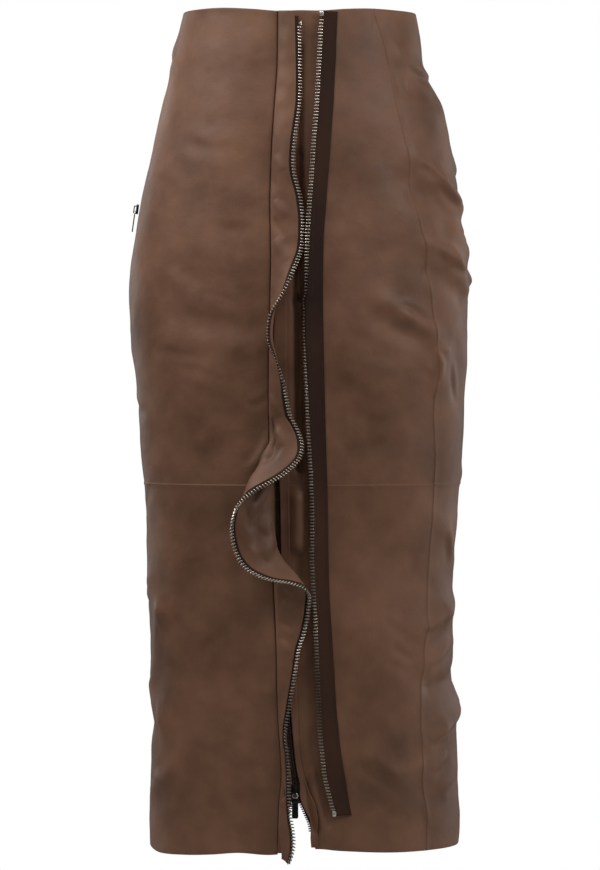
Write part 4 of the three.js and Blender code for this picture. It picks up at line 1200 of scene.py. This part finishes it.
def make_hide_grain():
    """Pebbled grain with soft wrinkles, as a height."""
    tree, given, result = new_group("hide_grain", [("Amount", NUMBER, 1.0)], [("Height", NUMBER)])
    where = object_place(tree)
    drift = node(tree, "ShaderNodeTexNoise", Vector=where, Scale=150.0, Detail=2.0).outputs["Color"]
    bent = node(tree, "ShaderNodeVectorMath", {"operation": "MULTIPLY_ADD"}, _0=drift,
                _1=(0.002, 0.002, 0.002), _2=where).outputs[0]
    cells = node(tree, "ShaderNodeTexVoronoi", {"feature": "SMOOTH_F1"}, Vector=bent, Scale=620.0)
    pebbles = times(tree, cells.outputs["Distance"], 0.55)
    wrinkles = times(tree, noise(tree, where, 110, 4.0, 0.62), 2.4)
    soft = times(tree, noise(tree, where, 38, 3.0, 0.5), 4.5)
    give(tree, result, Height=times(tree, add_up(tree, pebbles, wrinkles, soft), given.outputs["Amount"]))
    return tree


def make_cloth_weave():
    """Warp and weft of a woven tape, from its own cloth map."""
    tree, given, result = new_group(
        "cloth_weave", [("Color", COLOUR, (0.03, 0.02, 0.02, 1)), ("Threads", NUMBER, 1500.0)],
        [("Color", COLOUR), ("Height", NUMBER)])
    place = node(tree, "ShaderNodeUVMap", {"uv_map": "cloth"}).outputs[0]
    parts = node(tree, "ShaderNodeSeparateXYZ", Vector=place)
    warp, weft = [
        calculate(tree, "SINE", times(tree, times(tree, parts.outputs[axis], given.outputs["Threads"]), turn))
        for axis, turn in (("X", 2 * math.pi), ("Y", 1.2 * math.pi))]
    height = add_up(tree, times(tree, warp, weft), warp, noise(tree, place, 900))
    pale = blend(tree, 0.25, given.outputs["Color"], (0.12, 0.07, 0.06, 1))
    share = spread(tree, height, -1.5, 2.5, 0.0, 1.0)
    give(tree, result, Color=blend(tree, share, given.outputs["Color"], pale), Height=height)
    return tree


def make_metal_wear():
    """Tarnish on cast metal in fine patches, with painted shade, dark and dull, where Polish is low and
    painted highlight where it is high.
    """
    tree, given, result = new_group(
        "metal_wear",
        [("Color", COLOUR, (0.7, 0.7, 0.7, 1)), ("Gloss", NUMBER, 0.25), ("Polish", NUMBER, 1.0)],
        [("Color", COLOUR), ("Roughness", NUMBER)])
    patches = noise(tree, object_place(tree), 260, 3.0, 0.6)
    dull = node(tree, "ShaderNodeMix", {"data_type": "RGBA", "blend_type": "MULTIPLY"}, _0=1.0,
                _6=given.outputs["Color"], _7=(0.72, 0.70, 0.68, 1)).outputs[2]
    cast = blend(tree, spread(tree, patches, 0.35, 0.7, 0.0, 1.0), given.outputs["Color"], dull)
    painted_lighting = given.outputs["Polish"]
    patchy = spread(tree, patches, 0.3, 0.7, -0.06, 0.08)
    tarnished = spread(tree, painted_lighting, 0.0, 1.0, 0.16, 0.0)
    # Near black where a stretch should look unlit: painted shade; the full bright metal elsewhere stands for
    # painted highlight.
    give(tree, result, Color=blend(tree, painted_lighting, (0.10, 0.075, 0.06, 1), cast),
         Roughness=add_up(tree, given.outputs["Gloss"], patchy, tarnished))
    return tree


def linear(red, green, blue):
    """Screen colour to working colour."""
    turn = lambda v: v / 12.92 if v <= 0.04045 else ((v + 0.055) / 1.055) ** 2.4
    return (turn(red), turn(green), turn(blue), 1.0)


def new_finish(name):
    finish = bpy.data.materials.new(name)
    finish.use_nodes = True
    return finish, finish.node_tree, finish.node_tree.nodes["Principled BSDF"]


def use_group(tree, group, **given):
    return node(tree, "ShaderNodeGroup", {"node_tree": group}, **given)


def bump(tree, shader, height, distance):
    relief = node(tree, "ShaderNodeBump", Height=height, Distance=distance, Strength=1.0)
    give(tree, shader, Normal=relief.outputs[0])


def leather_finish(name, light, dark, gloss, grain, sheen):
    finish, tree, shader = new_finish(name)
    hide = use_group(tree, HIDE_COLOUR, Light=light, Dark=dark, Gloss=gloss)
    give(tree, shader, Base_Color=hide.outputs["Color"], Roughness=hide.outputs["Roughness"],
         Specular_IOR_Level=0.34, Sheen_Weight=sheen, Sheen_Roughness=0.45)
    bump(tree, shader, use_group(tree, HIDE_GRAIN, Amount=grain).outputs["Height"], 0.00011)
    return finish


def share_along(tree, stretches):
    """A share that changes down the skirt, from a table of distances below the waist."""
    height = node(tree, "ShaderNodeSeparateXYZ", Vector=object_place(tree)).outputs["Z"]
    ramp = node(tree, "ShaderNodeValToRGB", Fac=spread(tree, height, 0.0, -RAMP_LENGTH * MM, 0.0, 1.0))
    stops = ramp.color_ramp.elements
    while len(stops) < len(stretches):
        stops.new(0.5)
    for stop, (down, share) in zip(stops, stretches):
        stop.position = down / RAMP_LENGTH
        stop.color = (share, share, share, 1)
    return ramp.outputs["Color"]


def woven_finish(name, colour, painted_light_colour=None, stretches=None):
    finish, tree, shader = new_finish(name)
    # A lighter colour blended in down the piece paints light and shade along it.
    if painted_light_colour:
        colour = blend(tree, share_along(tree, stretches), colour, painted_light_colour)
    weave = use_group(tree, CLOTH_WEAVE, Color=colour)
    give(tree, shader, Base_Color=weave.outputs["Color"], Roughness=0.85, Specular_IOR_Level=0.12)
    bump(tree, shader, weave.outputs["Height"], 0.00006)
    return finish


def metal_finish(name, colour, gloss, stretches=None):
    finish, tree, shader = new_finish(name)
    # The table paints highlight and shade along the row of teeth.
    lighting_share = share_along(tree, stretches) if stretches else 1.0
    wear = use_group(tree, METAL_WEAR, Color=colour, Gloss=gloss, Polish=lighting_share)
    give(tree, shader, Base_Color=wear.outputs["Color"], Roughness=wear.outputs["Roughness"], Metallic=1.0)
    return finish


def plain_finish(name, colour, roughness):
    finish, tree, shader = new_finish(name)
    give(tree, shader, Base_Color=colour, Roughness=roughness)
    return finish


HIDE_COLOUR, HIDE_GRAIN = make_hide_colour(), make_hide_grain()
CLOTH_WEAVE, METAL_WEAR = make_cloth_weave(), make_metal_wear()
LEATHER_FACE = leather_finish("brown_leather", linear(0.525, 0.372, 0.282), linear(0.365, 0.243, 0.17),
                              gloss=0.56, grain=1.0, sheen=0.08)
LEATHER_BACK = leather_finish("leather_reverse", linear(0.41, 0.31, 0.24), linear(0.34, 0.25, 0.19),
                              gloss=0.9, grain=0.6, sheen=0.2)
TAPE_WEAVE = woven_finish("zip_tape_weave", linear(0.19, 0.126, 0.098))
# Painted light and shade down the wide tape beside the ornamental zip, as a share of its lighter colour:
# distance below the waist, share
TRIM_TAPE_PAINTED_LIGHT = [
    (21, 0.39), (68, 0.29), (114, 0.47), (160, 0.63), (207, 0.26), (253, 0.1), (299, 0.02), (346, 0.44),
    (392, 0.26), (438, 0.22), (485, 0.44), (531, 0.95), (577, 0.85), (624, 0.79), (670, 0.74), (716, 0.58),
    (763, 0.88), (809, 0.55),
]
# The tape's second, lighter colour is painted light, spread down it by the table above.
TRIM_WEAVE = woven_finish("trim_tape_weave", linear(0.13, 0.083, 0.06), linear(0.29, 0.186, 0.135),
                          TRIM_TAPE_PAINTED_LIGHT)
THREAD = plain_finish("sewing_thread", linear(0.13, 0.09, 0.08), 0.6)
BRIGHT_METAL = metal_finish("bright_zip_metal", linear(0.97, 0.95, 0.93), 0.36)
TEETH_TONE = linear(0.99, 0.95, 0.89)
# Painted highlight and shade down each row of large teeth, bright stretches and dark ones: distance below the
# waist, share of painted highlight
RUFFLE_TEETH_PAINTED_LIGHT = [
    (0, 0.6), (30, 0.95), (69, 0.9), (100, 0.75), (130, 0.45), (202, 0.42), (229, 0.85), (256, 0.45),
    (310, 0.42), (363, 0.3), (417, 0.35), (443, 0.5), (510, 0.4), (578, 0.42), (630, 0.3), (650, 0.85),
    (664, 0.9), (685, 0.5), (711, 0.2), (738, 0.1), (792, 0.1), (817, 0.22), (880, 0.15),
]
TRIM_TEETH_PAINTED_LIGHT = [
    (0, 0.75), (100, 0.7), (150, 0.42), (178, 0.58), (204, 0.45), (229, 0.85), (256, 0.42), (283, 0.06),
    (336, 0.2), (363, 0.55), (390, 0.62), (417, 0.32), (443, 0.34), (470, 0.72), (497, 0.26), (551, 0.26),
    (604, 0.28), (631, 0.8), (658, 0.3), (688, 0.05), (715, 0.03), (738, 0.12), (765, 0.34), (830, 0.4),
]
RUFFLE_METAL = metal_finish("ruffle_teeth_metal", TEETH_TONE, 0.2, RUFFLE_TEETH_PAINTED_LIGHT)
TRIM_METAL = metal_finish("trim_teeth_metal", TEETH_TONE, 0.2, TRIM_TEETH_PAINTED_LIGHT)
AGED_METAL = metal_finish("aged_zip_metal", linear(0.32, 0.28, 0.26), 0.35)
DARK_METAL = metal_finish("dark_zip_metal", linear(0.26, 0.25, 0.25), 0.3)


# ---------- camera, studio and light ----------
EYE, AIM = Vector((0.0005, -6.150, -0.300)), Vector((0.0005, 0.0, -0.441))
LENS, FILM = 242.4, 36.0
LIT_MIDDLE = Vector((0, 0, -0.42))    # what the lights face
FLOOR_HEIGHT = -1.14
# Name, degrees round and up, distance and size in metres, power
LIGHTS = [
    ("key_light", -75, 50, 1.5, 0.7, 9.6), ("left_light", -58, 38, 1.5, 0.7, 2.4),
    ("front_left_light", -42, 44, 1.5, 0.5, 3.2), ("top_light", 6, 47, 1.5, 0.5, 2.0),
    ("right_light", 50, 34, 1.6, 0.6, 8.0), ("side_light", 78, 0, 2.4, 1.4, 6.8),
    ("rim_light", 124, 5, 2.2, 1.6, 9.0), ("back_light", 178, 26, 2.4, 1.4, 7.0),
    ("back_left_light", -136, 10, 2.4, 1.4, 9.0),
]


def add_camera():
    camera = bpy.data.objects.new("front_camera", bpy.data.cameras.new("front_camera"))
    bpy.context.scene.collection.objects.link(camera)
    camera.location = EYE
    camera.rotation_euler = (AIM - EYE).to_track_quat("-Z", "Y").to_euler()
    camera.data.lens, camera.data.sensor_width = LENS, FILM
    bpy.context.scene.camera = camera


def add_light(name, azimuth, rise, distance, size, power):
    """A round soft light that faces the skirt's middle from so many degrees round and up."""
    data = bpy.data.lights.new(name, "AREA")
    data.shape, data.size, data.energy = "DISK", size, power
    light = bpy.data.objects.new(name, data)
    bpy.context.scene.collection.objects.link(light)
    turn, rise = math.radians(azimuth), math.radians(rise)
    away = Vector((math.sin(turn) * math.cos(rise), -math.cos(turn) * math.cos(rise), math.sin(rise)))
    light.location = LIT_MIDDLE + away * distance
    light.rotation_euler = (-away).to_track_quat("-Z", "Y").to_euler()
    light.visible_camera = False


def add_studio():
    """White to the camera, a dim even grey to everything else."""
    world = bpy.data.worlds.new("studio")
    bpy.context.scene.world = world
    world.use_nodes = True
    tree = world.node_tree
    seen = node(tree, "ShaderNodeLightPath").outputs["Is Camera Ray"]
    shown = node(tree, "ShaderNodeBackground", Color=(1, 1, 1, 1), Strength=1.0)
    dim = node(tree, "ShaderNodeBackground", Color=(1, 0.99, 0.97, 1), Strength=0.08)
    both = node(tree, "ShaderNodeMixShader", _0=seen, _1=dim.outputs[0], _2=shown.outputs[0])
    give(tree, tree.nodes["World Output"], Surface=both.outputs[0])
    for row in LIGHTS:
        add_light(*row)
    view = bpy.context.scene.view_settings
    view.view_transform, view.look = "Standard", "None"


def add_floor():
    bpy.ops.object.select_all(action="DESELECT")
    bpy.ops.mesh.primitive_cylinder_add(vertices=96, radius=0.9, depth=0.02, location=(0, 0, FLOOR_HEIGHT))
    bpy.ops.object.transform_apply(location=True, rotation=True, scale=True)
    floor = bpy.context.object
    floor.name = floor.data.name = "studio_floor"
    floor.data.materials.append(plain_finish("pale_floor", (0.8, 0.8, 0.79, 1), 0.7))


# ---------- the skirt ----------
add_camera()
add_studio()
add_floor()
add_panels()
add_closing_leather()
add_closing_tapes()
add_ruffle_band()
add_ruffle_tape()
add_trim_tape()
TOOTH, FINE_TOOTH = model_tooth(), model_fine_tooth()
add_ruffle_teeth(TOOTH)
add_trim_teeth(TOOTH)
add_closing_teeth(FINE_TOOTH)
add_pocket_zip(FINE_TOOTH)
add_small_metal()
add_trim_stitches()
